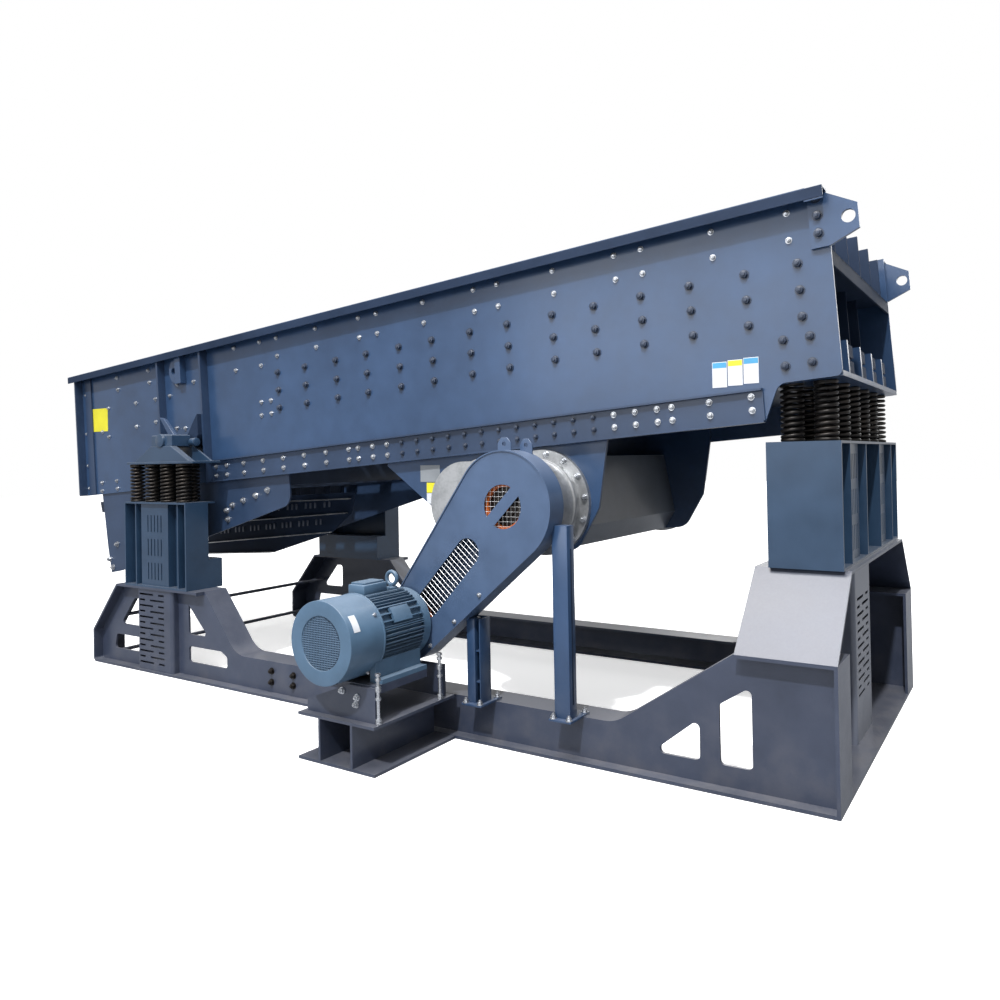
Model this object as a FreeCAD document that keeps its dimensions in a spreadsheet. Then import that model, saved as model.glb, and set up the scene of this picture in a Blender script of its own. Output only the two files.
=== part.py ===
import FreeCAD, Part
import math
import os
import Sketcher
from FreeCAD import Vector

# Vibrating grizzly feeder on a steel support frame, in millimetres.
# Origin: on the ground under the middle of the feed end pedestal, on the centre plane of the trough.
# +X points out of the feed end, +Z up, and the motor stands on the -Y side, which is called near.
os.makedirs("parts", exist_ok=True)
doc = FreeCAD.newDocument("VibratingFeeder")
sheet = doc.addObject("Spreadsheet::Sheet", "Sizes")

# Driving dimensions: every size that can be set by itself, written once.
DIMENSIONS = {
    # base frame
    "frame_length": 5500, "frame_width": 2170, "beam_height": 214, "flange_width": 240,
    "flange_thick": 16, "web_inset": 65, "web_thick": 14, "outer_corner": 35,
    "tower_height": 615, "tower_foot": 246, "tower_lean": 320, "tower_top_length": 966,
    "tower_slope_run": 330, "knee_radius": 190,
    "pedestal_side_height": 625, "pedestal_length": 434, "pedestal_slope_run": 618,
    "window_radius": 22, "window_floor": 110, "window_margin": 92,
    "tower_rib_width": 82, "lower_window_height": 110,
    "feed_window_length": 235, "feed_window_height": 190, "feed_slot_width": 149,
    "feed_slot_height": 365, "feed_window_gap": 94,
    "tie_radius": 14, "upper_tie_height": 365, "upper_tie_from_end": 280,
    "lower_tie_height": 85, "lower_tie_from_end": 200,
    # slotted posts of the base frame
    "post_width": 420, "post_from_end": 570, "post_thick": 6, "post_front_inset": 12,
    "post_slot_long": 166, "post_slot_short": 68, "post_slot_height": 14, "post_slot_gap": 62,
    "post_slot_pitch": 41, "post_slot_rows": 13, "post_slot_margin": 30, "post_slot_start": 45,
    "post_corner": 25,
    # feed end pedestal
    "pedestal_height": 970, "pedestal_shoulder": 330, "pedestal_plate": 14,
    "feed_post_width": 430, "feed_post_from_end": 95,
    # spring boxes
    "box_length": 740, "box_from_end": 440, "box_depth": 178, "box_height": 615, "box_top_depth": 235,
    "box_plate": 12, "box_upright_depth": 60, "box_upright_from_end": 118,
    "box_panel_width": 325, "box_panel_from_end": 178, "box_panel_thick": 5, "box_panel_inset": 22,
    "box_slot_width": 11, "box_slot_height": 122, "box_slot_pitch": 40, "box_slot_row_pitch": 172,
    "box_slot_base": 60, "box_slots": 5, "box_slot_rows": 3,
    "box_rear_depth": 110, "box_rear_height": 205,
    "feed_box_length": 335, "feed_box_from_end": 27, "feed_box_height": 580, "feed_box_width": 1570,
    "feed_box_recess": 55, "feed_box_divider": 70,
    "feed_panel_width": 250,
    # coil springs
    "spring_radius": 53, "spring_pitch": 187, "springs_in_row": 4, "spring_edge": 63,
    "spring_front": 70, "second_row_shift": 129, "second_row_back": 105, "springs_in_second_row": 3,
    "spring_height": 275, "sleeve_sides": 18,
    "feed_spring_radius": 56, "feed_springs_across": 6, "feed_springs_deep": 2,
    "feed_spring_pitch_across": 260, "feed_spring_pitch_deep": 155, "feed_spring_height": 300,
    "spring_gap": 0.3,
    # trough
    "trough_tilt": 3.9, "trough_length": 6262, "trough_height": 1010, "trough_width": 1570,
    "trough_start": -6033, "trough_base": 1240, "side_plate": 14, "plate_start": 130,
    "rail_width": 75, "rail_lip": 62, "rail_thick": 12, "rail_overhang": 70,
    "heel_length": 250, "heel_height": 172, "heel_radius": 55, "heel_run": 110,
    "lower_rail_start": 1835, "lower_rail_end": 5905, "lower_rail_height": 160,
    "lower_rail_depth": 34, "lower_rail_thick": 10,
    "stiffener_spacing": 525, "stiffener_thick": 20, "left_upright_low": 375,
    "stiffener_depth": 60, "end_flange_depth": 62, "end_flange_width": 14,
    "end_angle_width": 90, "end_angle_gap": 55, "end_angle_thick": 12,
    "pan_thick": 20, "pan_height": 185, "pan_start": 2650, "back_wall_inset": 260,
    "back_rib_depth": 120, "back_ribs": 4, "back_rib_thick": 14, "back_angle_height": 640,
    "back_angle_width": 90, "back_wall_thick": 14,
    "liner_thick": 16, "liner_clearance": 1, "liner_height": 560, "liner_start": 1300,
    "seat_thick": 25, "seat_gusset_height": 150, "seat_gusset_width": 100, "seat_gusset_thick": 25,
    "seat_gussets": 4,
    "ear_reach": 150, "ear_height": 262, "ear_hole_radius": 30, "ear_thick": 20,
    "bars_across": 9, "bar_top_width": 62, "bar_bottom_width": 40, "bar_depth": 90,
    "lower_deck_drop": 210, "deck_step": 1450, "bar_overhang": 180,
    "cross_beam_width": 110, "cross_beam_height": 130, "cross_beam_thick": 12,
    "skirt_thick": 12, "skirt_start": 343, "skirt_reach": 2630, "skirt_depth": 649,
    "skirt_foot": 420, "skirt_knee": 387, "skirt_knee_depth": 449, "skirt_toe": 564, "skirt_toe_depth": 635,
    "skirt_end_depth": 205, "skirt_radius": 90, "skirt_lap": 32,
    # spring saddle and trunnion
    "saddle_plate": 16, "saddle_length": 873, "saddle_shift": 20, "saddle_height": 170, "saddle_top_length": 250,
    "saddle_gusset": 16, "saddle_depth": 225, "saddle_set_back": 10, "saddle_inset": 57, "trunnion_radius": 62, "trunnion_block": 170,
    # exciter
    "exciter_x": -1362, "exciter_z": 1255, "exciter_radius": 250, "exciter_flange_radius": 286,
    "exciter_flange_thick": 26, "exciter_second_lobe": 380, "exciter_lobe_flange": 250, "exciter_cover_reach": 215,
    "exciter_cover_radius": 230, "exciter_shaft_radius": 45,
    "hanger_thick": 16, "hanger_depth": 470, "hanger_lap": 140, "hanger_bottom": 960,
    "hanger_radius": 110, "hanger_corner": 196, "hanger_corner_rise": 40, "hanger_knee": 332,
    "hanger_knee_height": 1230, "hanger_right": 387, "tube_across": 560, "tube_thick": 10, "tube_rise": 150,
    # drive
    "motor_x": -2009, "motor_z": 627, "pulley_width": 84, "exciter_pulley_radius": 175,
    "motor_pulley_radius": 98, "belt_thick": 12, "belt_width": 74, "belt_gap": 0.3,
    "motor_shaft_radius": 27, "shaft_clearance": 0.3,
    "guard_front": 1180, "guard_depth": 125, "guard_thick": 3, "guard_upper_radius": 285,
    "guard_lower_radius": 178, "guard_lower_shift_x": 25, "guard_lower_shift_z": 32,
    "guard_window_radius": 112, "guard_bar_width": 62, "guard_slot_radius": 72,
    "guard_slot_upper": 0.36, "guard_slot_lower": 0.80,
    "guard_rim": 18, "mesh_wire": 4,
    "long_leg_x": -1076.5, "long_leg_width": 58, "leg_thick": 4, "short_leg_x": -1618,
    "short_leg_width": 62, "short_leg_rise": 38, "leg_set_back": 55, "leg_depth": 170,
    "motor_radius": 192, "motor_core_radius": 170, "motor_body_length": 372, "motor_fins": 32,
    "motor_fin_thick": 6, "motor_cowl_length": 172, "motor_cowl_radius": 205,
    "motor_shield_length": 55, "motor_end_gap": 14, "motor_foot_spread": 356,
    "motor_foot_width": 75, "motor_foot_length": 330, "motor_foot_thick": 22,
    "terminal_box_size": 190, "terminal_box_height": 95,
    "stand_length": 522, "stand_reach": 612, "stand_height": 236, "stand_plate": 14,
    "stand_web_spacing": 220, "stand_start": -2284, "stand_margin": 28,
    "bracket_thick": 14, "bracket_top": 405, "bracket_low_side": 60, "bracket_slope_run": 290,
    "front_bracket_gap": 40, "rear_bracket_gap": 52, "motor_seat_height": 40, "motor_seat_length": 373,
    "pivot_radius": 14, "pivot_height": 378, "rear_screw_gap": 105, "screw_radius": 8, "screw_length": 245,
}
for row, (alias, value) in enumerate(DIMENSIONS.items(), start=1):
    sheet.set(f"A{row}", alias)
    sheet.set(f"B{row}", str(value))
    sheet.setAlias(f"B{row}", alias)
doc.recompute()


class Size:
    """A value worked out from the sheet, with the expression that binds a property to it."""

    def __init__(self, value, text):
        self.value = float(value)
        self.text = text

    def __add__(self, other):
        other = as_size(other)
        return Size(self.value + other.value, f"({self.text} + {other.text})")

    def __sub__(self, other):
        other = as_size(other)
        return Size(self.value - other.value, f"({self.text} - {other.text})")

    def __mul__(self, other):
        other = as_size(other)
        return Size(self.value * other.value, f"{self.text} * {other.text}")

    def __truediv__(self, other):
        other = as_size(other)
        return Size(self.value / other.value, f"{self.text} / {other.text}")

    def __neg__(self):
        return Size(-self.value, f"(0 - {self.text})")

    def __radd__(self, other):
        return as_size(other) + self

    def __rsub__(self, other):
        return as_size(other) - self

    def __rmul__(self, other):
        return as_size(other) * self

    def __rtruediv__(self, other):
        return as_size(other) / self


def as_size(value):
    return value if isinstance(value, Size) else Size(value, f"({value})" if value < 0 else str(value))


class Sheet:
    """Reads a driving dimension by its name."""

    def __getattr__(self, alias):
        return Size(sheet.get(alias), "Sizes." + alias)


s = Sheet()


def sine(angle):
    return Size(math.sin(math.radians(angle.value)), f"sin({angle.text})")


def cosine(angle):
    return Size(math.cos(math.radians(angle.value)), f"cos({angle.text})")


def tangent(angle):
    return Size(math.tan(math.radians(angle.value)), f"tan({angle.text})")


def bind(thing, prop, size):
    thing.setExpression(prop, as_size(size).text)


def origin_plane(body, role):
    return [feature for feature in body.Origin.OriginFeatures if feature.Role == role][0]


def hold_point(sketch, geometry, end, spot):
    """Ties one point of a sketch to its two coordinates."""
    for kind, size in (("DistanceX", as_size(spot[0])), ("DistanceY", as_size(spot[1]))):
        index = sketch.addConstraint(Sketcher.Constraint(kind, -1, 1, geometry, end, size.value))
        bind(sketch, f"Constraints[{index}]", size)


def draw_outline(sketch, corners):
    """A closed outline. A corner is (x, y), or (x, y, radius) where it is rounded."""
    count = len(corners)
    spots = [Vector(as_size(c[0]).value, as_size(c[1]).value, 0) for c in corners]
    enter, leave, middle = [], [], []
    for i, corner in enumerate(corners):
        if len(corner) == 2:
            enter.append(spots[i])
            leave.append(spots[i])
            middle.append(None)
            continue
        back = (spots[i - 1] - spots[i]).normalize()
        ahead = (spots[(i + 1) % count] - spots[i]).normalize()
        half = back.getAngle(ahead) / 2
        radius = as_size(corner[2]).value
        enter.append(spots[i] + back * (radius / math.tan(half)))
        leave.append(spots[i] + ahead * (radius / math.tan(half)))
        inward = (back + ahead).normalize()
        middle.append(spots[i] + inward * (radius / math.sin(half) - radius))
    lines = []
    for i in range(count):
        segment = Part.LineSegment(leave[i], enter[(i + 1) % count])
        lines.append(sketch.addGeometry(segment, False))
    for i, corner in enumerate(corners):
        before, after = lines[i - 1], lines[i]
        if middle[i] is None:
            sketch.addConstraint(Sketcher.Constraint("Coincident", before, 2, after, 1))
            hold_point(sketch, after, 1, corner)
            continue
        turn = (spots[i] - enter[i]).cross(leave[i] - spots[i]).z
        ends = (enter[i], leave[i]) if turn > 0 else (leave[i], enter[i])
        arc = sketch.addGeometry(Part.Arc(ends[0], middle[i], ends[1]), False)
        first, last = (1, 2) if turn > 0 else (2, 1)
        sketch.addConstraint(Sketcher.Constraint("Tangent", before, 2, arc, first))
        sketch.addConstraint(Sketcher.Constraint("Tangent", arc, last, after, 1))
        index = sketch.addConstraint(Sketcher.Constraint("Radius", arc, as_size(corner[2]).value))
        bind(sketch, f"Constraints[{index}]", corner[2])
        apex = sketch.addGeometry(Part.Point(spots[i]), True)
        hold_point(sketch, apex, 1, corner)
        sketch.addConstraint(Sketcher.Constraint("PointOnObject", apex, 1, before))
        sketch.addConstraint(Sketcher.Constraint("PointOnObject", apex, 1, after))


def draw_circle(sketch, centre, radius):
    spot = Vector(as_size(centre[0]).value, as_size(centre[1]).value, 0)
    circle = sketch.addGeometry(Part.Circle(spot, Vector(0, 0, 1), as_size(radius).value), False)
    hold_point(sketch, circle, 3, centre)
    index = sketch.addConstraint(Sketcher.Constraint("Radius", circle, as_size(radius).value))
    bind(sketch, f"Constraints[{index}]", radius)


def draw_belt_line(sketch, centre_1, radius_1, centre_2, radius_2):
    """The closed line round two circles: two arcs and the two straight runs that touch both."""
    first = Vector(as_size(centre_1[0]).value, as_size(centre_1[1]).value, 0)
    second = Vector(as_size(centre_2[0]).value, as_size(centre_2[1]).value, 0)
    big, small = as_size(radius_1).value, as_size(radius_2).value
    span = second - first
    heading = math.atan2(span.y, span.x)
    lean = math.acos((big - small) / span.Length)
    left = Vector(math.cos(heading + lean), math.sin(heading + lean), 0)
    right = Vector(math.cos(heading - lean), math.sin(heading - lean), 0)
    ahead = span.normalize()
    arc_1 = sketch.addGeometry(Part.Arc(first + left * big, first - ahead * big, first + right * big))
    run_1 = sketch.addGeometry(Part.LineSegment(first + right * big, second + right * small))
    arc_2 = sketch.addGeometry(Part.Arc(second + right * small, second + ahead * small, second + left * small))
    run_2 = sketch.addGeometry(Part.LineSegment(second + left * small, first + left * big))
    for before, end, after, start in ((arc_1, 2, run_1, 1), (run_1, 2, arc_2, 1), (arc_2, 2, run_2, 1), (run_2, 2, arc_1, 1)):
        sketch.addConstraint(Sketcher.Constraint("Tangent", before, end, after, start))
    for arc, centre, radius in ((arc_1, centre_1, radius_1), (arc_2, centre_2, radius_2)):
        hold_point(sketch, arc, 3, centre)
        index = sketch.addConstraint(Sketcher.Constraint("Radius", arc, as_size(radius).value))
        bind(sketch, f"Constraints[{index}]", radius)


def new_sketch(body, role, offset=0):
    """A sketch on one of the body's origin planes; XZ_Plane faces -Y, so its offset counts to -Y."""
    sketch = body.newObject("Sketcher::SketchObject", body.Name + "_sketch")
    sketch.AttachmentSupport = [(origin_plane(body, role), "")]
    sketch.MapMode = "FlatFace"
    bind(sketch, ".AttachmentOffset.Base.z", offset)
    return sketch


def new_body(name):
    return doc.addObject("PartDesign::Body", name)


def plate(name, role, start, thick, outline, windows=()):
    """A flat piece: its outline, with windows cut through, from start along the plane's normal."""
    body = new_body(name)
    sketch = new_sketch(body, role, start)
    draw_outline(sketch, outline)
    for window in windows:
        if len(window) == 2 and isinstance(window[0], tuple) and not isinstance(window[1], tuple):
            draw_circle(sketch, window[0], window[1])
        else:
            draw_outline(sketch, window)
    pad = body.newObject("PartDesign::Pad", name + "_pad")
    pad.Profile = sketch
    bind(pad, "Length", thick)
    body.Tip = pad
    return body


def box(name, low, sizes):
    """A plain block from its low corner."""
    block = doc.addObject("Part::Box", name)
    for prop, size in zip(("Length", "Width", "Height"), sizes):
        bind(block, prop, size)
    for axis, place in zip("xyz", low):
        bind(block, f".Placement.Base.{axis}", place)
    return block


def shaft(name, centre, y_low, length, radius):
    """A cylinder along Y from y_low; centre is its (x, z)."""
    round_bar = doc.addObject("Part::Cylinder", name)
    round_bar.Placement.Rotation = FreeCAD.Rotation(Vector(1, 0, 0), -90)
    bind(round_bar, "Radius", radius)
    bind(round_bar, "Height", length)
    bind(round_bar, ".Placement.Base.x", centre[0])
    bind(round_bar, ".Placement.Base.y", y_low)
    bind(round_bar, ".Placement.Base.z", centre[1])
    return round_bar


def column(name, place, height, radius):
    """A cylinder along Z from its foot."""
    round_bar = doc.addObject("Part::Cylinder", name)
    bind(round_bar, "Radius", radius)
    bind(round_bar, "Height", height)
    for axis, value in zip("xyz", place):
        bind(round_bar, f".Placement.Base.{axis}", value)
    return round_bar


def sleeve(name, place, height, radius):
    """A spring's plain stand-in: a many-sided column along Z from its foot."""
    prism = doc.addObject("Part::Prism", name)
    bind(prism, "Polygon", s.sleeve_sides)
    bind(prism, "Circumradius", radius)
    bind(prism, "Height", height)
    for axis, value in zip("xyz", place):
        bind(prism, f".Placement.Base.{axis}", value)
    return prism


def fuse(name, pieces):
    joined = doc.addObject("Part::MultiFuse", name)
    joined.Shapes = pieces
    joined.Refine = True
    return joined


def cut(name, base, tool):
    rest = doc.addObject("Part::Cut", name)
    rest.Base = base
    rest.Tool = tool
    return rest


def group(name, pieces):
    """Like pieces of one node that don't touch."""
    set_of = doc.addObject("Part::Compound", name)
    set_of.Links = pieces
    return set_of


def mirrored(name, source):
    """The far twin of a near piece, across the centre plane."""
    twin = doc.addObject("Part::Mirroring", name)
    twin.Source = source
    twin.Normal = Vector(0, 1, 0)
    return twin


nodes = []


def node(name, piece):
    """Marks a finished sub-part; its label is the name of its file."""
    piece.Label = name
    nodes.append(piece)
    return piece


# Trough frame: built level from its discharge end and lower edge, then tilted about Y as a whole.
def tilt(name, *pieces):
    """A node of the trough: its pieces, turned together to the trough's slope."""
    set_of = group(name, list(pieces))
    set_of.Placement = FreeCAD.Placement(Vector(0, 0, 0), FreeCAD.Rotation(Vector(0, -1, 0), 1))
    bind(set_of, ".Placement.Rotation.Angle", s.trough_tilt)
    bind(set_of, ".Placement.Base.x", s.trough_start)
    bind(set_of, ".Placement.Base.z", s.trough_base)
    return set_of


half_width = s.frame_width / 2
half_trough = s.trough_width / 2
feed_end = s.pedestal_length / 2
discharge_end = feed_end - s.frame_length

# Side frames: one web outline with a flange round its whole edge.
tower_left = discharge_end + s.tower_lean
tower_right = tower_left + s.tower_top_length
knee = tower_right + s.tower_slope_run
pedestal_left = -s.pedestal_length / 2
slope_start = pedestal_left - s.pedestal_slope_run


def frame_outline(sketch):
    draw_outline(sketch, [
        (discharge_end, 0, s.outer_corner), (feed_end, 0),
        (feed_end, s.pedestal_side_height), (pedestal_left, s.pedestal_side_height),
        (slope_start, s.beam_height, s.knee_radius), (knee, s.beam_height, s.knee_radius),
        (tower_right, s.tower_height), (tower_left, s.tower_height),
        (discharge_end, s.tower_foot),
    ])


frame_edge = new_body("frame_edge")
frame_sketch = new_sketch(frame_edge, "XZ_Plane", half_width - s.flange_width)
frame_outline(frame_sketch)
edge_pad = frame_edge.newObject("PartDesign::Pad", "frame_edge_pad")
edge_pad.Profile = frame_sketch
bind(edge_pad, "Length", s.flange_width)
frame_inner_line = doc.addObject("Part::Offset2D", "frame_inner_line")
frame_inner_line.Source = frame_sketch
frame_inner_line.Join = 2
bind(frame_inner_line, "Value", -s.flange_thick)
frame_inside = doc.addObject("Part::Extrusion", "frame_inside")
frame_inside.Base = frame_inner_line
frame_inside.DirMode = "Custom"
frame_inside.Dir = Vector(0, -1, 0)
frame_inside.Solid = True
bind(frame_inside, "LengthFwd", s.flange_width)
frame_band = cut("frame_band", frame_edge, frame_inside)

post_left = discharge_end + s.post_from_end
post_right = post_left + s.post_width
window_left = post_left - s.window_margin / 2
window_right = post_right + s.post_corner + s.window_margin
left_window_low = s.window_floor + s.lower_window_height + s.tower_rib_width
slope_rate = s.tower_slope_run / (s.tower_height - s.beam_height)
lean_rate = s.tower_lean / (s.tower_height - s.tower_foot)
upper_window_top = s.tower_height - s.window_margin - s.flange_thick
upper_window_height = upper_window_top - left_window_low
edge_run = s.window_margin * 1.4
frame_web = plate("frame_web", "XZ_Plane", half_width - s.web_inset - s.web_thick, s.web_thick, [
    (discharge_end, 0, s.outer_corner), (feed_end, 0),
    (feed_end, s.pedestal_side_height), (pedestal_left, s.pedestal_side_height),
    (slope_start, s.beam_height, s.knee_radius), (knee, s.beam_height, s.knee_radius),
    (tower_right, s.tower_height), (tower_left, s.tower_height),
    (discharge_end, s.tower_foot),
], windows=[
    # discharge tower: two windows each side of the slotted post
    [(tower_left + edge_run - upper_window_height * lean_rate, left_window_low, s.window_radius),
     (window_left, left_window_low, s.window_radius),
     (window_left, upper_window_top, s.window_radius),
     (tower_left + edge_run, upper_window_top, s.window_radius)],
    [(discharge_end + s.window_margin * 2, s.window_floor, s.window_radius),
     (window_left, s.window_floor, s.window_radius),
     (window_left, s.window_floor + s.lower_window_height, s.window_radius),
     (discharge_end + s.window_margin * 2.3, s.window_floor + s.lower_window_height, s.window_radius)],
    [(window_right, left_window_low, s.window_radius),
     (tower_right - edge_run + upper_window_height * slope_rate, left_window_low, s.window_radius),
     (window_right, upper_window_top)],
    [(window_right, s.window_floor, s.window_radius),
     (knee - s.window_margin, s.window_floor, s.window_radius),
     (knee - s.window_margin, s.window_floor + s.lower_window_height * 0.7, s.window_radius),
     (knee - s.window_margin * 1.7, s.window_floor + s.lower_window_height, s.window_radius),
     (window_right, s.window_floor + s.lower_window_height, s.window_radius)],
    # feed end: a triangle and a tall window
    [(pedestal_left - s.feed_window_gap * 2 - s.feed_window_length, s.window_floor, s.window_radius),
     (pedestal_left - s.feed_window_gap * 2, s.window_floor, s.window_radius),
     (pedestal_left - s.feed_window_gap * 2, s.window_floor + s.feed_window_height, s.window_radius)],
    [(pedestal_left - s.feed_window_gap, s.window_floor, s.window_radius),
     (pedestal_left - s.feed_window_gap + s.feed_slot_width, s.window_floor, s.window_radius),
     (pedestal_left - s.feed_window_gap + s.feed_slot_width, s.window_floor + s.feed_slot_height, s.window_radius),
     (pedestal_left - s.feed_window_gap, s.window_floor + s.feed_slot_height - s.feed_slot_width * 0.65, s.window_radius)],
])
# The flange of the low beam and its two slopes lies flush with the web; elsewhere it stands out.
frame_relief = box("frame_relief", (tower_right, -half_width, s.flange_thick),
                   (pedestal_left - tower_right, s.web_inset, s.tower_height))
frame_flange = cut("frame_flange", frame_band, frame_relief)
near_side_frame = node("near_side_frame", fuse("near_side_frame", [frame_flange, frame_web]))
node("far_side_frame", mirrored("far_side_frame", near_side_frame))


# Slotted posts: a folded channel with staggered slots in its face.
def slot_rows(name, across_low, up_low, into, role, start):
    """Blocks for the staggered slots, one long and one short a row, changing sides each row."""
    tools = []
    for row in range(int(s.post_slot_rows.value)):
        up = up_low + s.post_slot_pitch * row
        first = s.post_slot_long if row % 2 == 0 else s.post_slot_short
        second = s.post_slot_short if row % 2 == 0 else s.post_slot_long
        second_low = across_low + first + s.post_slot_gap
        for side, (low, length) in enumerate(((across_low, first), (second_low, second))):
            if role == "XZ":
                spot, sizes = (low, start, up), (length, into, s.post_slot_height)
            else:
                spot, sizes = (start, low, up), (into, length, s.post_slot_height)
            tools.append(box(f"{name}_slot_{row}_{side}", spot, sizes))
    return group(name + "_slots", tools)


tower_inside = s.tower_height - s.flange_thick * 2
post_front = half_width - s.post_front_inset
post_depth = s.web_inset - s.post_front_inset
post_inner_corner = s.post_corner - s.post_thick
post_channel = plate("post_channel", "XY_Plane", s.flange_thick, tower_inside, [
    (post_left, -post_front, s.post_corner), (post_right, -post_front, s.post_corner),
    (post_right, -post_front + post_depth), (post_right - s.post_thick, -post_front + post_depth),
    (post_right - s.post_thick, -post_front + s.post_thick, post_inner_corner),
    (post_left + s.post_thick, -post_front + s.post_thick, post_inner_corner),
    (post_left + s.post_thick, -post_front + post_depth), (post_left, -post_front + post_depth),
])
near_post_slots = slot_rows(
    "near_post", post_left + s.post_slot_margin, s.flange_thick + s.post_slot_start,
    s.post_thick * 2, "XZ", -post_front - s.post_thick / 2)
near_slotted_post = node("near_slotted_post", cut("near_slotted_post", post_channel, near_post_slots))
node("far_slotted_post", mirrored("far_slotted_post", near_slotted_post))

# Two round ties across the discharge end.
tie_start = s.web_inset + s.web_thick - half_width
tie_reach = -tie_start * 2
node("discharge_cross_ties", group("discharge_cross_ties", [
    shaft("upper_tie", (discharge_end + s.upper_tie_from_end, s.upper_tie_height),
          tie_start, tie_reach, s.tie_radius),
    shaft("lower_tie", (discharge_end + s.lower_tie_from_end, s.lower_tie_height),
          tie_start, tie_reach, s.tie_radius),
]))

# Feed end pedestal: a cross web, a slanted plate each side and a top plate.
pedestal_x = pedestal_left
pedestal_top_half = half_width - s.pedestal_shoulder
slant_edge = s.pedestal_plate * 1.3
slant_outline = [
    (-half_width, s.pedestal_side_height), (-pedestal_top_half, s.pedestal_height),
    (pedestal_top_half, s.pedestal_height), (half_width, s.pedestal_side_height),
    (half_width - slant_edge, s.pedestal_side_height),
    (pedestal_top_half - s.pedestal_plate / 2, s.pedestal_height - s.pedestal_plate),
    (-pedestal_top_half + s.pedestal_plate / 2, s.pedestal_height - s.pedestal_plate),
    (-half_width + slant_edge, s.pedestal_side_height),
]
pedestal_roof = plate("pedestal_roof", "YZ_Plane", pedestal_x, s.pedestal_length, slant_outline)
cross_low_half = half_width - s.flange_width
pedestal_web = plate("pedestal_web", "YZ_Plane", pedestal_x, s.pedestal_plate, [
    (-half_width, s.pedestal_side_height), (-cross_low_half, s.pedestal_side_height),
    (-cross_low_half, s.flange_thick), (cross_low_half, s.flange_thick),
    (cross_low_half, s.pedestal_side_height), (half_width, s.pedestal_side_height),
    (pedestal_top_half, s.pedestal_height), (-pedestal_top_half, s.pedestal_height),
])
pedestal_floor = box("pedestal_floor", (pedestal_x, -cross_low_half, 0),
                     (s.pedestal_length, cross_low_half * 2, s.flange_thick))
node("feed_pedestal", fuse("feed_pedestal", [pedestal_roof, pedestal_web, pedestal_floor]))

feed_post_face = feed_end - s.feed_post_from_end
feed_post_half = s.feed_post_width / 2
feed_post_depth = feed_post_face - pedestal_x - s.pedestal_plate
feed_post_height = s.pedestal_height - s.pedestal_plate - s.flange_thick
feed_channel = plate("feed_channel", "XY_Plane", s.flange_thick, feed_post_height, [
    (feed_post_face, -feed_post_half, s.post_corner), (feed_post_face, feed_post_half, s.post_corner),
    (feed_post_face - feed_post_depth, feed_post_half),
    (feed_post_face - feed_post_depth, feed_post_half - s.post_thick),
    (feed_post_face - s.post_thick, feed_post_half - s.post_thick, post_inner_corner),
    (feed_post_face - s.post_thick, -feed_post_half + s.post_thick, post_inner_corner),
    (feed_post_face - feed_post_depth, -feed_post_half + s.post_thick),
    (feed_post_face - feed_post_depth, -feed_post_half),
])
feed_slots = slot_rows(
    "feed_post", -feed_post_half + s.post_slot_margin * 2, s.flange_thick + s.post_slot_start * 5,
    s.post_thick * 2, "YZ", feed_post_face - s.post_thick * 1.5)
node("feed_slotted_post", cut("feed_slotted_post", feed_channel, feed_slots))

# Discharge spring boxes: end plates, uprights and a slotted front panel between two plates.
box_left = discharge_end + s.box_from_end
box_right = box_left + s.box_length
box_front = -half_width
box_inner_height = s.box_height - s.box_plate * 2
box_floor = s.tower_height + s.box_plate
panel_left = box_left + s.box_panel_from_end
panel_front = box_front + s.box_panel_inset
box_pieces = [
    box("box_bottom", (box_left, box_front, s.tower_height), (s.box_length, s.box_depth, s.box_plate)),
    box("box_top", (box_left, box_front, s.tower_height + s.box_height - s.box_plate),
        (s.box_length, s.box_top_depth, s.box_plate)),
    box("box_left_end", (box_left, box_front, box_floor), (s.box_plate, s.box_depth, box_inner_height)),
    box("box_right_end", (box_right - s.box_plate, box_front, box_floor),
        (s.box_plate, s.box_depth, box_inner_height)),
    box("box_back", (box_left, box_front + s.box_upright_depth + s.box_panel_inset, box_floor),
        (s.box_length, s.box_plate, box_inner_height)),
    box("box_left_upright", (box_left + s.box_upright_from_end, box_front + s.box_plate, box_floor),
        (s.box_plate, s.box_upright_depth + s.box_panel_inset, box_inner_height)),
    box("box_right_upright", (box_right - s.box_upright_from_end, box_front + s.box_plate, box_floor),
        (s.box_plate, s.box_upright_depth + s.box_panel_inset, box_inner_height)),
    box("box_panel_left", (panel_left, panel_front, box_floor),
        (s.box_panel_thick, s.box_upright_depth, box_inner_height)),
    box("box_panel_right", (panel_left + s.box_panel_width - s.box_panel_thick, panel_front, box_floor),
        (s.box_panel_thick, s.box_upright_depth, box_inner_height)),
    box("box_rear_step", (box_left, box_front + s.box_depth, s.tower_height),
        (s.box_length, s.box_rear_depth, s.box_rear_height)),
]
panel_face = box("box_panel_face", (panel_left, panel_front, box_floor),
                 (s.box_panel_width, s.box_panel_thick, box_inner_height))


def panel_slots(name, across_low, up_low, start, role):
    tools = []
    for row in range(int(s.box_slot_rows.value)):
        for slot in range(int(s.box_slots.value)):
            across = across_low + s.box_slot_pitch * slot
            up = up_low + s.box_slot_row_pitch * row
            if role == "XZ":
                spot, sizes = (across, start, up), (s.box_slot_width, s.box_panel_thick * 2, s.box_slot_height)
            else:
                spot, sizes = (start, across, up), (s.box_panel_thick * 2, s.box_slot_width, s.box_slot_height)
            tools.append(box(f"{name}_{row}_{slot}", spot, sizes))
    return group(name, tools)


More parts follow.
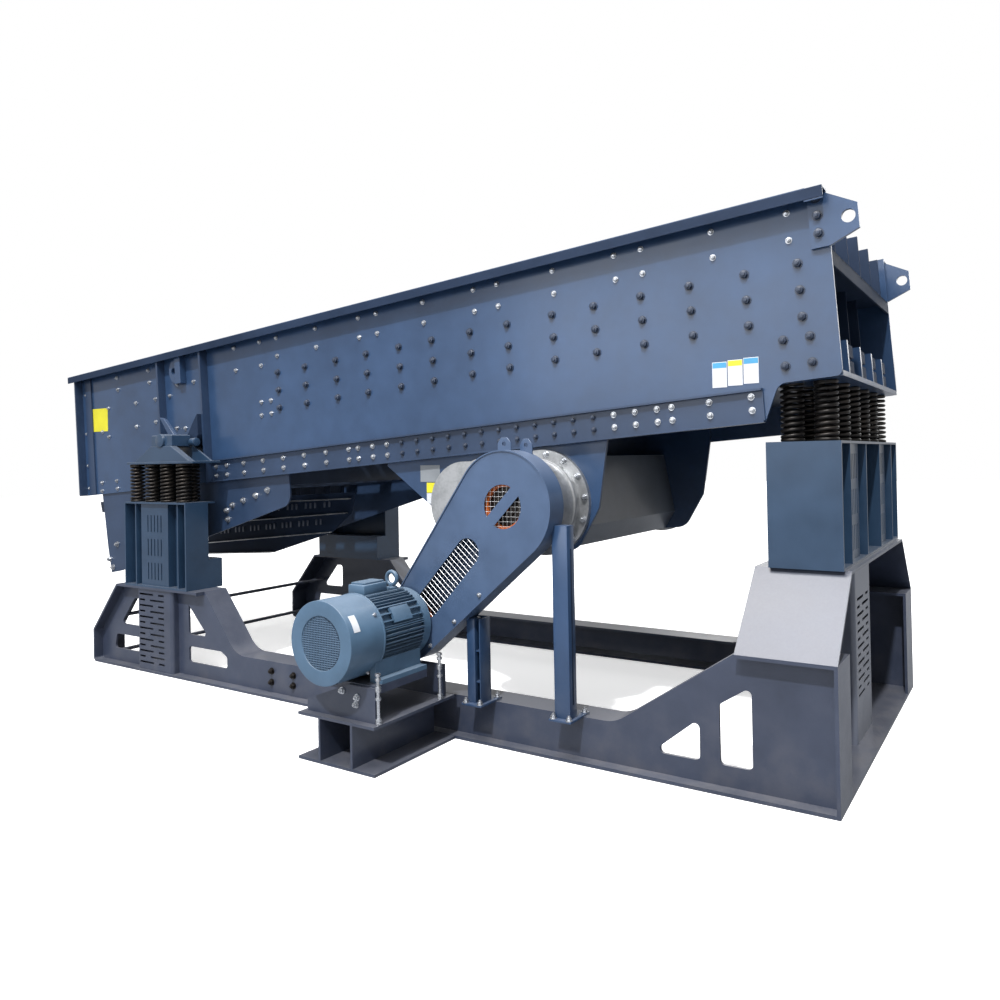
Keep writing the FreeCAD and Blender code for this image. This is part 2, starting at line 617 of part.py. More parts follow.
slots_width = s.box_slot_pitch * (s.box_slots - 1) + s.box_slot_width
box_slots = panel_slots(
    "box_slots", panel_left + (s.box_panel_width - slots_width) / 2,
    box_floor + s.box_slot_base * 0.7, panel_front - s.box_panel_thick / 2, "XZ")
panel_cut = cut("box_panel_cut", panel_face, box_slots)
near_spring_box = node("near_discharge_spring_box", fuse("near_discharge_spring_box", box_pieces + [panel_cut]))
node("far_discharge_spring_box", mirrored("far_discharge_spring_box", near_spring_box))

# Feed end spring box, across the whole trough.
feed_box_right = feed_end - s.feed_box_from_end
feed_box_left = feed_box_right - s.feed_box_length
feed_box_base = s.pedestal_height
feed_box_half = s.feed_box_width / 2
feed_inner_height = s.feed_box_height - s.box_plate * 2
feed_floor = feed_box_base + s.box_plate
feed_pieces = [
    box("feed_box_bottom", (feed_box_left, -feed_box_half, feed_box_base),
        (s.feed_box_length, s.feed_box_width, s.box_plate)),
    box("feed_box_top", (feed_box_left, -feed_box_half, feed_box_base + s.feed_box_height - s.box_plate),
        (s.feed_box_length, s.feed_box_width, s.box_plate)),
    box("feed_box_near_end", (feed_box_left, -feed_box_half, feed_floor),
        (s.feed_box_length, s.box_plate, feed_inner_height)),
    box("feed_box_far_end", (feed_box_left, feed_box_half - s.box_plate, feed_floor),
        (s.feed_box_length, s.box_plate, feed_inner_height)),
    box("feed_box_back", (feed_box_left, -feed_box_half, feed_floor),
        (s.box_plate, s.feed_box_width, feed_inner_height)),
    box("feed_box_middle", (feed_box_right - s.feed_box_recess * 3, -feed_box_half, feed_floor),
        (s.box_plate, s.feed_box_width, feed_inner_height)),
]
for place in (-1, 1):
    for side in (-1, 1):
        centre = feed_box_half / 2 * place + (s.feed_panel_width / 2 + s.feed_box_divider) * side
        feed_pieces.append(box(
            f"feed_divider_{place + 1}_{side + 1}",
            (feed_box_right - s.feed_box_recess * 3, centre - s.box_plate / 2, feed_floor),
            (s.feed_box_recess * 3, s.box_plate, feed_inner_height)))
    face_low = feed_box_half / 2 * place - s.feed_panel_width / 2
    face_x = feed_box_right - s.feed_box_recess / 2
    face = box(f"feed_panel_face_{place + 1}", (face_x - s.box_panel_thick, face_low, feed_floor),
               (s.box_panel_thick, s.feed_panel_width, feed_inner_height))
    slots = panel_slots(
        f"feed_panel_slots_{place + 1}", face_low + (s.feed_panel_width - slots_width) / 2,
        feed_floor + s.box_slot_base * 0.7, face_x - s.box_panel_thick * 1.5, "YZ")
    feed_pieces.append(cut(f"feed_panel_{place + 1}", face, slots))
    for side in (0, 1):
        feed_pieces.append(box(
            f"feed_panel_return_{place + 1}_{side}",
            (feed_box_right - s.feed_box_recess * 3, face_low + (s.feed_panel_width - s.box_panel_thick) * side, feed_floor),
            (s.feed_box_recess * 2.5, s.box_panel_thick, feed_inner_height)))
node("feed_spring_box", fuse("feed_spring_box", feed_pieces))

# Coil springs, plain here: sleeves of the springs' outer size between their seats.
spring_floor = s.tower_height + s.box_height
near_springs = []
for place in range(int(s.springs_in_row.value)):
    near_springs.append(sleeve(
        f"near_front_spring_{place}",
        (box_left + s.spring_edge + s.spring_pitch * place, box_front + s.spring_front, spring_floor),
        s.spring_height, s.spring_radius))
for place in range(int(s.springs_in_second_row.value)):
    near_springs.append(sleeve(
        f"near_back_spring_{place}",
        (box_left + s.spring_edge + s.second_row_shift + s.spring_pitch * place,
         box_front + s.spring_front + s.second_row_back, spring_floor),
        s.spring_height, s.spring_radius))
near_discharge_springs = node("near_discharge_springs", group("near_discharge_springs", near_springs))
node("far_discharge_springs", mirrored("far_discharge_springs", near_discharge_springs))
feed_springs = []
for across in range(int(s.feed_springs_across.value)):
    for deep in range(int(s.feed_springs_deep.value)):
        middle_across = (s.feed_springs_across - 1) / 2
        middle_deep = (s.feed_springs_deep - 1) / 2
        feed_springs.append(sleeve(
            f"feed_spring_{across}_{deep}",
            (feed_box_left + s.feed_box_length / 2 + s.feed_spring_pitch_deep * (deep - middle_deep),
             s.feed_spring_pitch_across * (across - middle_across), feed_box_base + s.feed_box_height),
            s.feed_spring_height, s.feed_spring_radius))
spring_room = tilt("spring_room", box(
    "seat_space", (s.trough_length - s.feed_box_length * 3, -half_trough, s.heel_height - s.spring_gap),
    (s.feed_box_length * 4, s.trough_width, s.feed_spring_height)))
node("feed_springs", cut("feed_springs", group("feed_spring_columns", feed_springs), spring_room))

# Trough side plates: flat, with a raised heel over the feed springs and a folded rail on top.
heel_start = s.trough_length - s.heel_length
plate_outline = [
    (s.plate_start, 0), (heel_start - s.heel_run, 0, s.heel_radius / 2),
    (heel_start - s.heel_run * 0.3, s.heel_height, s.heel_radius),
    (s.trough_length, s.heel_height, s.heel_radius / 2),
    (s.trough_length, s.trough_height), (s.plate_start, s.trough_height),
]
near_plate = plate("near_plate", "XZ_Plane", half_trough - s.side_plate, s.side_plate, plate_outline)
rail_start = s.plate_start - s.rail_overhang
rail_top = plate("rail_top", "YZ_Plane", rail_start, s.trough_length - s.rail_width - rail_start, [
    (-half_trough + s.side_plate, s.trough_height), (-half_trough - s.rail_width, s.trough_height),
    (-half_trough - s.rail_width, s.trough_height - s.rail_lip + s.rail_thick),
    (-half_trough - s.rail_width + s.rail_thick, s.trough_height - s.rail_lip + s.rail_thick),
    (-half_trough - s.rail_width + s.rail_thick, s.trough_height - s.rail_thick),
    (-half_trough, s.trough_height - s.rail_thick),
    (-half_trough, s.trough_height - s.rail_thick * 1.5),
    (-half_trough + s.side_plate, s.trough_height - s.rail_thick * 1.5),
])
ear_base = s.trough_length - s.ear_thick
ear = plate("ear", "XZ_Plane", half_trough, s.ear_thick, [
    (ear_base - s.ear_reach * 0.4, s.trough_height - s.ear_height),
    (ear_base + s.ear_thick, s.trough_height - s.ear_height),
    (ear_base + s.ear_reach, s.trough_height - s.ear_height * 0.8),
    (ear_base + s.ear_reach, s.trough_height - s.ear_height * 0.38),
    (ear_base + s.ear_thick, s.trough_height - s.rail_thick * 2),
    (ear_base - s.ear_reach * 0.4, s.trough_height - s.rail_thick * 2),
], windows=[((ear_base + s.ear_reach * 0.72, s.trough_height - s.ear_height * 0.57), s.ear_hole_radius)])
side_joined = fuse("side_joined", [near_plate, rail_top, ear])
near_side_plate = node("near_side_plate", tilt("near_side_plate", side_joined))
node("far_side_plate", mirrored("far_side_plate", near_side_plate))

# Outside stiffening: end flange and angle, two uprights and the long bolted lower rail.
upright_high = s.trough_height - s.rail_thick * 1.5
outer = half_trough
stiffener_x = s.lower_rail_start - s.stiffener_thick


def upright(name, along, low):
    """A flat bar on edge against the side plate."""
    return box(name, (along, -outer - s.stiffener_depth, low),
               (s.stiffener_thick, s.stiffener_depth, upright_high - low))


lower_rail = plate("lower_rail", "YZ_Plane", s.lower_rail_start, s.lower_rail_end - s.lower_rail_start, [
    (-outer, 0), (-outer - s.lower_rail_depth, 0), (-outer - s.lower_rail_depth, s.lower_rail_thick),
    (-outer - s.lower_rail_thick, s.lower_rail_thick),
    (-outer - s.lower_rail_thick, s.lower_rail_height - s.lower_rail_thick),
    (-outer - s.lower_rail_depth, s.lower_rail_height - s.lower_rail_thick),
    (-outer - s.lower_rail_depth, s.lower_rail_height), (-outer, s.lower_rail_height),
])
end_flange = box("end_flange", (s.plate_start, -outer - s.end_flange_depth, 0),
                 (s.end_flange_width, s.end_flange_depth, upright_high))
end_angle_start = s.plate_start + s.end_flange_width + s.end_angle_gap
end_angle = box("end_angle", (end_angle_start, -outer - s.end_angle_thick, 0),
                (s.end_angle_width, s.end_angle_thick, upright_high))
left_upright = upright("left_upright", stiffener_x - s.stiffener_spacing, s.left_upright_low)
right_upright = upright("right_upright", stiffener_x, 0)
near_stiffeners = node("near_side_stiffeners", tilt(
    "near_side_stiffeners", lower_rail, end_flange, end_angle, left_upright, right_upright))
node("far_side_stiffeners", mirrored("far_side_stiffeners", near_stiffeners))

# Pan of the feed half, the back wall with its ribs, and the spring seat under the heel.
inner_half = half_trough - s.side_plate
back_wall_x = s.trough_length - s.back_wall_inset
seat_x = back_wall_x - s.feed_box_length / 3
pan_length = seat_x - s.pan_start
node("feed_pan", tilt("feed_pan", box("pan_plate", (s.pan_start, -inner_half, s.pan_height),
                          (pan_length, inner_half * 2, s.pan_thick))))
back_top = s.trough_height - s.rail_thick * 2
back_pieces = [
    box("back_plate", (back_wall_x, -inner_half, s.heel_height + s.seat_thick),
        (s.back_wall_thick, inner_half * 2, back_top - s.heel_height - s.seat_thick)),
    box("back_angle_flat", (back_wall_x + s.back_wall_thick, -inner_half, s.back_angle_height),
        (s.back_rib_depth + s.back_angle_width / 2, inner_half * 2, s.back_rib_thick)),
    box("back_angle_lip", (back_wall_x + s.back_wall_thick + s.back_rib_depth + s.back_angle_width / 2,
                           -inner_half, s.back_angle_height - s.back_angle_width),
        (s.back_rib_thick, inner_half * 2, s.back_angle_width + s.back_rib_thick)),
]
rib_pitch = inner_half * 2 / (s.back_ribs + 1)
for rib in range(int(s.back_ribs.value)):
    back_pieces.append(box(
        f"back_rib_{rib}",
        (back_wall_x + s.back_wall_thick, -inner_half + rib_pitch * (rib + 1) - s.back_rib_thick / 2,
         s.heel_height + s.seat_thick),
        (s.back_rib_depth, s.back_rib_thick, back_top - s.heel_height - s.seat_thick)))
node("feed_back_wall", tilt("feed_back_wall", fuse("back_wall_joined", back_pieces)))

seat_pieces = [box("seat_plate", (seat_x, -inner_half, s.heel_height),
                   (s.trough_length - seat_x, inner_half * 2, s.seat_thick))]
for gusset in range(int(s.seat_gussets.value)):
    seat_pieces.append(box(
        f"seat_gusset_{gusset}",
        (s.trough_length - s.seat_gusset_width,
         -inner_half + rib_pitch * (gusset + 1) - rib_pitch / 2 - s.seat_gusset_thick / 2,
         s.heel_height + s.seat_thick),
        (s.seat_gusset_width, s.seat_gusset_thick, s.seat_gusset_height)))
node("feed_spring_seat", tilt("feed_spring_seat", fuse("seat_joined", seat_pieces)))

near_liner = node("near_side_liner", tilt("near_side_liner", box(
    "liner_plate", (s.liner_start, -inner_half, s.pan_height + s.pan_thick),
    (back_wall_x - s.liner_start, s.liner_thick, s.liner_height))))
node("far_side_liner", mirrored("far_side_liner", near_liner))

# Grizzly: tapered bars in two stepped decks on cross beams.
bar_room = (inner_half - s.liner_thick - s.liner_clearance) * 2
bar_pitch = bar_room / s.bars_across


def bar_deck(name, along_low, along_high, top):
    bars = []
    for bar in range(int(s.bars_across.value)):
        middle = -bar_room / 2 + bar_pitch * (bar + 0.5)
        bars.append(plate(f"{name}_{bar}", "YZ_Plane", along_low, along_high - along_low, [
            (middle - s.bar_bottom_width / 2, top - s.bar_depth),
            (middle + s.bar_bottom_width / 2, top - s.bar_depth),
            (middle + s.bar_top_width / 2, top), (middle - s.bar_top_width / 2, top),
        ]))
    return bars


upper_bar_top = s.pan_height + s.pan_thick - s.bar_depth * 0.6
lower_bar_top = upper_bar_top - s.lower_deck_drop
upper_start = s.deck_step
upper_bars = bar_deck("upper_bar", upper_start - s.bar_overhang, s.pan_start - 5, upper_bar_top)
lower_bars = bar_deck("lower_bar", s.bar_overhang, upper_start + s.bar_overhang, lower_bar_top)
node("upper_grizzly_bars", tilt("upper_grizzly_bars", *upper_bars))
node("lower_grizzly_bars", tilt("lower_grizzly_bars", *lower_bars))


beam_half = inner_half - s.skirt_thick


def cross_beam(name, along, top):
    """A folded channel under the bars, from side to side, open downwards."""
    low = top - s.cross_beam_height
    body = new_body(name)
    sketch = new_sketch(body, "XZ_Plane", -beam_half)
    draw_outline(sketch, [
        (along, low), (along + s.cross_beam_thick, low),
        (along + s.cross_beam_thick, top - s.cross_beam_thick),
        (along + s.cross_beam_width - s.cross_beam_thick, top - s.cross_beam_thick),
        (along + s.cross_beam_width - s.cross_beam_thick, low), (along + s.cross_beam_width, low),
        (along + s.cross_beam_width, top), (along, top),
    ])
    pad = body.newObject("PartDesign::Pad", name + "_pad")
    pad.Profile = sketch
    bind(pad, "Length", beam_half * 2)
    return body


beams = [
    cross_beam("beam_upper_middle", s.pan_start - s.cross_beam_width * 5.5, upper_bar_top - s.bar_depth),
    cross_beam("beam_lower_middle", s.bar_overhang * 5, lower_bar_top - s.bar_depth),
    cross_beam("beam_pan_edge", s.pan_start - s.cross_beam_width * 1.5, upper_bar_top - s.bar_depth),
    cross_beam("beam_upper", upper_start + s.bar_overhang, upper_bar_top - s.bar_depth),
    cross_beam("beam_lower_back", upper_start - s.cross_beam_width, lower_bar_top - s.bar_depth),
    cross_beam("beam_lower_front", s.bar_overhang * 2.5, lower_bar_top - s.bar_depth),
]
node("grizzly_cross_beams", tilt("grizzly_cross_beams", *beams))

# Skirts: plates that hang inside the side plates round the lower deck and its beams.
near_skirt = node("near_skirt_plate", tilt("near_skirt_plate", plate(
    "skirt_plate", "XZ_Plane", inner_half - s.skirt_thick, s.skirt_thick, [
        (s.skirt_start, s.skirt_lap), (s.skirt_start, 0), (s.skirt_knee, -s.skirt_knee_depth),
        (s.skirt_foot, -s.skirt_depth), (s.skirt_toe, -s.skirt_toe_depth),
        (s.skirt_reach, -s.skirt_end_depth, s.skirt_radius), (s.skirt_reach, s.skirt_lap),
    ])))
node("far_skirt_plate", mirrored("far_skirt_plate", near_skirt))

# Spring saddles on the trunnions of the side plates.
saddle_left = box_left + s.saddle_shift
saddle_front = box_front + s.saddle_set_back
saddle_base = spring_floor + s.spring_height
saddle_middle = saddle_left + s.saddle_length / 2
saddle_top = saddle_base + s.saddle_plate + s.saddle_height
saddle_pieces = [
    box("saddle_base", (saddle_left, saddle_front, saddle_base),
        (s.saddle_length, s.saddle_depth, s.saddle_plate)),
]
for place, back in enumerate((s.saddle_gusset * 2, s.saddle_depth - s.saddle_gusset * 2)):
    saddle_pieces.append(plate(
        f"saddle_side_{place}", "XZ_Plane", -saddle_front - back, s.saddle_gusset, [
            (saddle_left + s.saddle_inset, saddle_base + s.saddle_plate),
            (saddle_left + s.saddle_length - s.saddle_inset, saddle_base + s.saddle_plate),
            (saddle_middle + s.saddle_top_length / 2, saddle_top),
            (saddle_middle - s.saddle_top_length / 2, saddle_top),
        ]))
saddle_pieces.append(box(
    "saddle_cap", (saddle_middle - s.trunnion_block / 2, saddle_front + s.saddle_gusset, saddle_base + s.saddle_plate),
    (s.trunnion_block, s.saddle_depth - s.saddle_gusset * 3, s.saddle_height + s.trunnion_radius * 1.3)))
saddle_pieces.append(shaft(
    "trunnion", (saddle_middle, saddle_top), saddle_front, -saddle_front - half_trough, s.trunnion_radius))
near_saddle = node("near_spring_saddle", fuse("near_spring_saddle", saddle_pieces))
node("far_spring_saddle", mirrored("far_spring_saddle", near_saddle))

# Exciter under the trough: hanging plates, the folded cross tube, the flanged end cover.
exciter = (s.exciter_x, s.exciter_z)
hang_left = s.exciter_x - s.exciter_second_lobe - s.hanger_depth
hang_right = s.exciter_x + s.hanger_right


def lower_edge(x):
    """Height of the trough's lower edge over x."""
    return s.trough_base + (x - s.trough_start) * tangent(s.trough_tilt)


tube_left = s.exciter_x - s.exciter_second_lobe - s.tube_across / 2
tube_right = s.exciter_x + s.hanger_corner
hanger_outline = [
    (hang_left, lower_edge(hang_left) - s.hanger_lap * 0.3),
    (tube_left + s.tube_rise * 0.7, s.hanger_bottom + s.tube_rise * 0.3),
    (tube_left + s.tube_rise * 1.6, s.hanger_bottom, s.hanger_radius / 2),
    (tube_right, s.hanger_bottom + s.hanger_corner_rise, s.hanger_radius),
    (s.exciter_x + s.hanger_knee, s.hanger_knee_height),
    (hang_right, lower_edge(hang_right)), (hang_right, lower_edge(hang_right) + s.hanger_lap),
    (hang_left, lower_edge(hang_left) + s.hanger_lap),
]
near_hanger = node("near_hanging_plate", plate(
    "near_hanging_plate", "XZ_Plane", inner_half - s.hanger_thick, s.hanger_thick, hanger_outline))
node("far_hanging_plate", mirrored("far_hanging_plate", near_hanger))
tube_half = inner_half - s.hanger_thick
tube_top = lower_edge(tube_left) - s.tube_thick
cross_tube = plate("exciter_cross_tube", "XZ_Plane", -tube_half, tube_half * 2, [
    (tube_left + s.tube_rise, s.hanger_bottom + s.tube_thick * 3),
    (tube_right - s.tube_rise, s.hanger_bottom + s.tube_thick * 3),
    (tube_right - s.tube_rise / 2, s.hanger_bottom + s.tube_rise),
    (tube_right - s.tube_rise, tube_top), (tube_left + s.tube_rise, tube_top),
    (tube_left + s.tube_rise / 2, s.hanger_bottom + s.tube_rise),
])
node("exciter_cross_tube", cross_tube)
cover_front = -outer - s.exciter_cover_reach
cover = new_body("exciter_cover")
cover_sketch = new_sketch(cover, "XZ_Plane", inner_half + s.exciter_flange_thick)
second_lobe = (s.exciter_x - s.exciter_second_lobe, s.exciter_z)
draw_belt_line(cover_sketch, exciter, s.exciter_cover_radius, second_lobe, s.exciter_cover_radius)
cover_pad = cover.newObject("PartDesign::Pad", "exciter_cover_pad")
cover_pad.Profile = cover_sketch
bind(cover_pad, "Length", s.exciter_cover_reach + s.side_plate - s.exciter_flange_thick)
cover_flange = new_body("exciter_flange")
flange_sketch = new_sketch(cover_flange, "XZ_Plane", inner_half)
draw_belt_line(flange_sketch, exciter, s.exciter_flange_radius, second_lobe, s.exciter_lobe_flange)
flange_pad = cover_flange.newObject("PartDesign::Pad", "exciter_flange_pad")
flange_pad.Profile = flange_sketch
bind(flange_pad, "Length", s.exciter_flange_thick)
shaft_hole = shaft("cover_shaft_hole", exciter, cover_front - 1, s.exciter_cover_reach, s.exciter_shaft_radius + s.shaft_clearance)
cover_whole = fuse("cover_whole", [cover, cover_flange])
node("exciter_end_cover", cut("exciter_end_cover", cover_whole, shaft_hole))

# Drive: pulleys on their shafts, the belt round them.
guard_back = -s.guard_front + s.guard_depth
pulley_low = -s.guard_front + (s.guard_depth - s.pulley_width) / 2
motor_end = -s.guard_front - s.motor_end_gap
exciter_pulley = shaft("exciter_pulley_rim", exciter, pulley_low, s.pulley_width, s.exciter_pulley_radius)
exciter_axle = shaft("exciter_axle", exciter, pulley_low, cover_front - pulley_low + s.exciter_cover_reach / 2,
                     s.exciter_shaft_radius)
node("exciter_pulley", fuse("exciter_pulley", [exciter_pulley, exciter_axle]))
motor_axis = (s.motor_x, s.motor_z)
motor_pulley = shaft("motor_pulley_rim", motor_axis, pulley_low, s.pulley_width, s.motor_pulley_radius)
motor_axle = shaft("motor_axle", motor_axis, motor_end - 40, pulley_low - motor_end + 40 + s.pulley_width,
                   s.motor_shaft_radius)
node("motor_pulley", fuse("motor_pulley", [motor_pulley, motor_axle]))
belt = new_body("drive_belt")
belt_sketch = new_sketch(belt, "XZ_Plane", -pulley_low - (s.pulley_width + s.belt_width) / 2)
draw_belt_line(belt_sketch, exciter, s.exciter_pulley_radius + s.belt_gap + s.belt_thick,
               motor_axis, s.motor_pulley_radius + s.belt_gap + s.belt_thick)
draw_belt_line(belt_sketch, exciter, s.exciter_pulley_radius + s.belt_gap,
               motor_axis, s.motor_pulley_radius + s.belt_gap)
belt_pad = belt.newObject("PartDesign::Pad", "drive_belt_pad")
belt_pad.Profile = belt_sketch
bind(belt_pad, "Length", s.belt_width)
node("drive_belt", belt)

# Belt guard: a folded cover with a round window, a diagonal bar and a long slot window.
guard_high = exciter
guard_low = (s.motor_x + s.guard_lower_shift_x, s.motor_z - s.guard_lower_shift_z)
run_x = guard_low[0] - guard_high[0]
run_z = guard_low[1] - guard_high[1]


def guard_solid(name, start, length, inset):
    body = new_body(name)
    sketch = new_sketch(body, "XZ_Plane", start)
    draw_belt_line(sketch, guard_high, s.guard_upper_radius - inset, guard_low, s.guard_lower_radius - inset)
    pad = body.newObject("PartDesign::Pad", name + "_pad")
    pad.Profile = sketch
    bind(pad, "Length", length)
    return body


guard_outer = guard_solid("guard_outer", -guard_back, s.guard_depth, 0)
guard_inner = guard_solid("guard_inner", -guard_back + s.guard_thick, s.guard_depth - s.guard_thick * 2, s.guard_thick)
window_slot = new_body("guard_slot_window")
slot_sketch = new_sketch(window_slot, "XZ_Plane", -guard_back + s.guard_depth - s.guard_thick * 2)
slot_high = (guard_high[0] + run_x * s.guard_slot_upper, guard_high[1] + run_z * s.guard_slot_upper)
slot_low = (guard_high[0] + run_x * s.guard_slot_lower, guard_high[1] + run_z * s.guard_slot_lower)
draw_belt_line(slot_sketch, slot_high, s.guard_slot_radius, slot_low, s.guard_slot_radius)
slot_pad = window_slot.newObject("PartDesign::Pad", "guard_slot_pad")
slot_pad.Profile = slot_sketch
bind(slot_pad, "Length", s.guard_thick * 3)
round_window = shaft("guard_round_window", guard_high, -s.guard_front - s.guard_thick, s.guard_thick * 3,
                     s.guard_window_radius)
bar = box("guard_bar", (-s.guard_upper_radius, 0, -s.guard_bar_width / 2),
          (s.guard_upper_radius * 2, s.guard_thick * 5, s.guard_bar_width))
bar.Placement = FreeCAD.Placement(Vector(0, 0, 0), FreeCAD.Rotation(Vector(0, -1, 0), 45))
bind(bar, ".Placement.Base.x", s.exciter_x - s.guard_upper_radius * 0.7071 + s.guard_bar_width * 0.35)
bind(bar, ".Placement.Base.y", -s.guard_front - s.guard_thick * 2)
bind(bar, ".Placement.Base.z", s.exciter_z - s.guard_upper_radius * 0.7071 - s.guard_bar_width * 0.35)
window_halves = cut("guard_window_halves", round_window, bar)
exciter_opening = shaft("guard_exciter_opening", exciter, guard_back - s.guard_thick * 2, s.guard_thick * 4,
                        s.exciter_shaft_radius + 20)
motor_opening = shaft("guard_motor_opening", motor_axis, -s.guard_front - s.guard_thick, s.guard_thick * 3,
                      s.motor_shaft_radius + 20)
guard_holes = group("guard_holes", [guard_inner, window_slot, window_halves, exciter_opening, motor_opening])
node("belt_guard", cut("belt_guard", guard_outer, guard_holes))


# Mesh behind the windows, plain here: two thin sheets just inside the guard's front.
mesh_place = s.guard_front - s.guard_thick - s.mesh_wire
slot_mesh = new_body("slot_mesh")
slot_mesh_sketch = new_sketch(slot_mesh, "XZ_Plane", mesh_place)
draw_belt_line(slot_mesh_sketch, slot_high, s.guard_slot_radius + s.guard_rim,
               slot_low, s.guard_slot_radius + s.guard_rim)
slot_mesh_pad = slot_mesh.newObject("PartDesign::Pad", "slot_mesh_pad")
slot_mesh_pad.Profile = slot_mesh_sketch
bind(slot_mesh_pad, "Length", s.mesh_wire)
round_mesh = shaft("round_mesh", guard_high, -mesh_place - s.mesh_wire, s.mesh_wire,
                   s.guard_window_radius + s.guard_rim)
node("belt_guard_mesh", group("belt_guard_mesh", [slot_mesh, round_mesh]))


def leg(name, left, width, top):
    """A folded channel leg from the top of the low beam, open to the right."""
    front = s.leg_set_back - s.guard_front
    back = front + s.leg_depth
    return plate(name, "XY_Plane", s.beam_height, top - s.beam_height, [
        (left, front), (left + width, front),
        (left + width, front + s.leg_thick), (left + s.leg_thick, front + s.leg_thick),
        (left + s.leg_thick, back - s.leg_thick), (left + width, back - s.leg_thick),
        (left + width, back), (left, back),
    ])


node("belt_guard_legs", group("belt_guard_legs", [
    leg("long_leg", s.long_leg_x, s.long_leg_width, s.exciter_z + s.guard_upper_radius * 0.2),
    leg("short_leg", s.short_leg_x, s.short_leg_width, s.motor_z + s.short_leg_rise),
]))

# Motor: finned body with feet, shields, cowl and terminal box.
body_low = motor_end - s.motor_shield_length - s.motor_body_length
finned = new_body("motor_finned_body")
core_sketch = new_sketch(finned, "XZ_Plane", -body_low - s.motor_body_length)
draw_circle(core_sketch, motor_axis, s.motor_core_radius)
core_pad = finned.newObject("PartDesign::Pad", "motor_core_pad")
core_pad.Profile = core_sketch
bind(core_pad, "Length", s.motor_body_length)
fins = [finned]
for fin in range(int(s.motor_fins.value)):
    angle = Size(360.0 * fin, str(360.0 * fin)) / s.motor_fins
    blade = box(f"motor_fin_{fin}", (0, 0, 0),
                (s.motor_radius - s.motor_core_radius + 4, s.motor_body_length, s.motor_fin_thick))
    blade.Placement = FreeCAD.Placement(Vector(0, 0, 0), FreeCAD.Rotation(Vector(0, -1, 0), 1))
    bind(blade, ".Placement.Rotation.Angle", angle)
    reach = s.motor_core_radius - 4
    bind(blade, ".Placement.Base.x",
         s.motor_x + cosine(angle) * reach + sine(angle) * s.motor_fin_thick / 2)
    bind(blade, ".Placement.Base.y", body_low)
    bind(blade, ".Placement.Base.z",
         s.motor_z + sine(angle) * reach - cosine(angle) * s.motor_fin_thick / 2)
    fins.append(blade)
foot_low = s.motor_z - s.motor_radius - s.motor_foot_thick
foot_middle = body_low + s.motor_body_length / 2
for side in (-1, 1):
    foot_x = s.motor_x + s.motor_foot_spread / 2 * side
    fins.append(box(f"motor_foot_{side + 1}",
                    (foot_x - s.motor_foot_width / 2, foot_middle - s.motor_foot_length / 2, foot_low),
                    (s.motor_foot_width, s.motor_foot_length, s.motor_foot_thick)))
    fins.append(box(f"motor_foot_web_{side + 1}",
                    (foot_x - s.motor_foot_width / 4 - s.motor_foot_width / 3 * side, foot_middle - s.motor_foot_length / 2, foot_low),
                    (s.motor_foot_width / 2, s.motor_foot_length, s.motor_radius * 0.55)))
fins.append(shaft("motor_shield", motor_axis, body_low + s.motor_body_length, s.motor_shield_length,
                  s.motor_radius * 0.96))
motor_whole = fuse("motor_whole", fins)
motor_bore = shaft("motor_bore", motor_axis, motor_end - 45, 60, s.motor_shaft_radius + s.shaft_clearance)
node("motor_housing", cut("motor_housing", motor_whole, motor_bore))
cowl_low = body_low - s.motor_cowl_length
node("motor_fan_cowl", shaft("motor_fan_cowl", motor_axis, cowl_low, s.motor_cowl_length, s.motor_cowl_radius))
node("motor_terminal_box", box(
    "motor_terminal_box",
    (s.motor_x - s.terminal_box_size / 2, foot_middle - s.terminal_box_size / 2, s.motor_z + s.motor_radius + 0.5),
    (s.terminal_box_size, s.terminal_box_size, s.terminal_box_height)))

# Motor stand: a top and a foot plate on two webs, against the near side frame.
stand_back = -half_width
stand_front = stand_back - s.stand_reach
web_1 = s.stand_start + (s.stand_length - s.stand_web_spacing) / 2
stand_pieces = [
    box("stand_base", (s.stand_start, stand_front, 0), (s.stand_length, s.stand_reach, s.stand_plate)),
    box("stand_top", (s.stand_start, stand_front, s.stand_height - s.stand_plate),
        (s.stand_length, s.stand_reach, s.stand_plate)),
]
for side in (0, 1):
    stand_pieces.append(box(
        f"stand_web_{side}", (web_1 + s.stand_web_spacing * side - s.stand_plate / 2, stand_front, s.stand_plate),
        (s.stand_plate, s.stand_reach, s.stand_height - s.stand_plate * 2)))
node("motor_stand", fuse("motor_stand", stand_pieces))

# Motor mount: a bracket at each end of the stand and the seat that the motor's feet are bolted to.
bracket_left = s.stand_start + s.stand_margin
bracket_right = bracket_left + s.stand_length - s.stand_margin * 2
bracket_outline = [
    (bracket_left, s.stand_height), (bracket_right, s.stand_height),
    (bracket_right, s.bracket_top), (bracket_left + s.bracket_slope_run, s.bracket_top),
    (bracket_left, s.stand_height + s.bracket_low_side),
]
bracket_front = stand_front + s.front_bracket_gap
bracket_rear = stand_back - s.rear_bracket_gap
seat_half = (s.motor_foot_spread + s.motor_foot_width) / 2
mount_pieces = [
    box("motor_seat", (s.motor_x - seat_half, bracket_front + s.bracket_thick, foot_low - s.motor_seat_height),
        (seat_half * 2, s.motor_seat_length, s.motor_seat_height)),
    plate("front_bracket", "XZ_Plane", -bracket_front - s.bracket_thick, s.bracket_thick, bracket_outline),
    plate("rear_bracket", "XZ_Plane", -bracket_rear - s.bracket_thick, s.bracket_thick, bracket_outline),
    shaft("mount_pivot", (bracket_left + s.bracket_slope_run, s.pivot_height), bracket_front,
          bracket_rear + s.bracket_thick - bracket_front, s.pivot_radius),
]
node("motor_mount", fuse("motor_mount", mount_pieces))
screw_x = bracket_right + s.stand_margin / 2
front_screw = bracket_front + s.bracket_thick / 2
rear_screw = stand_back - s.rear_screw_gap
screws = []
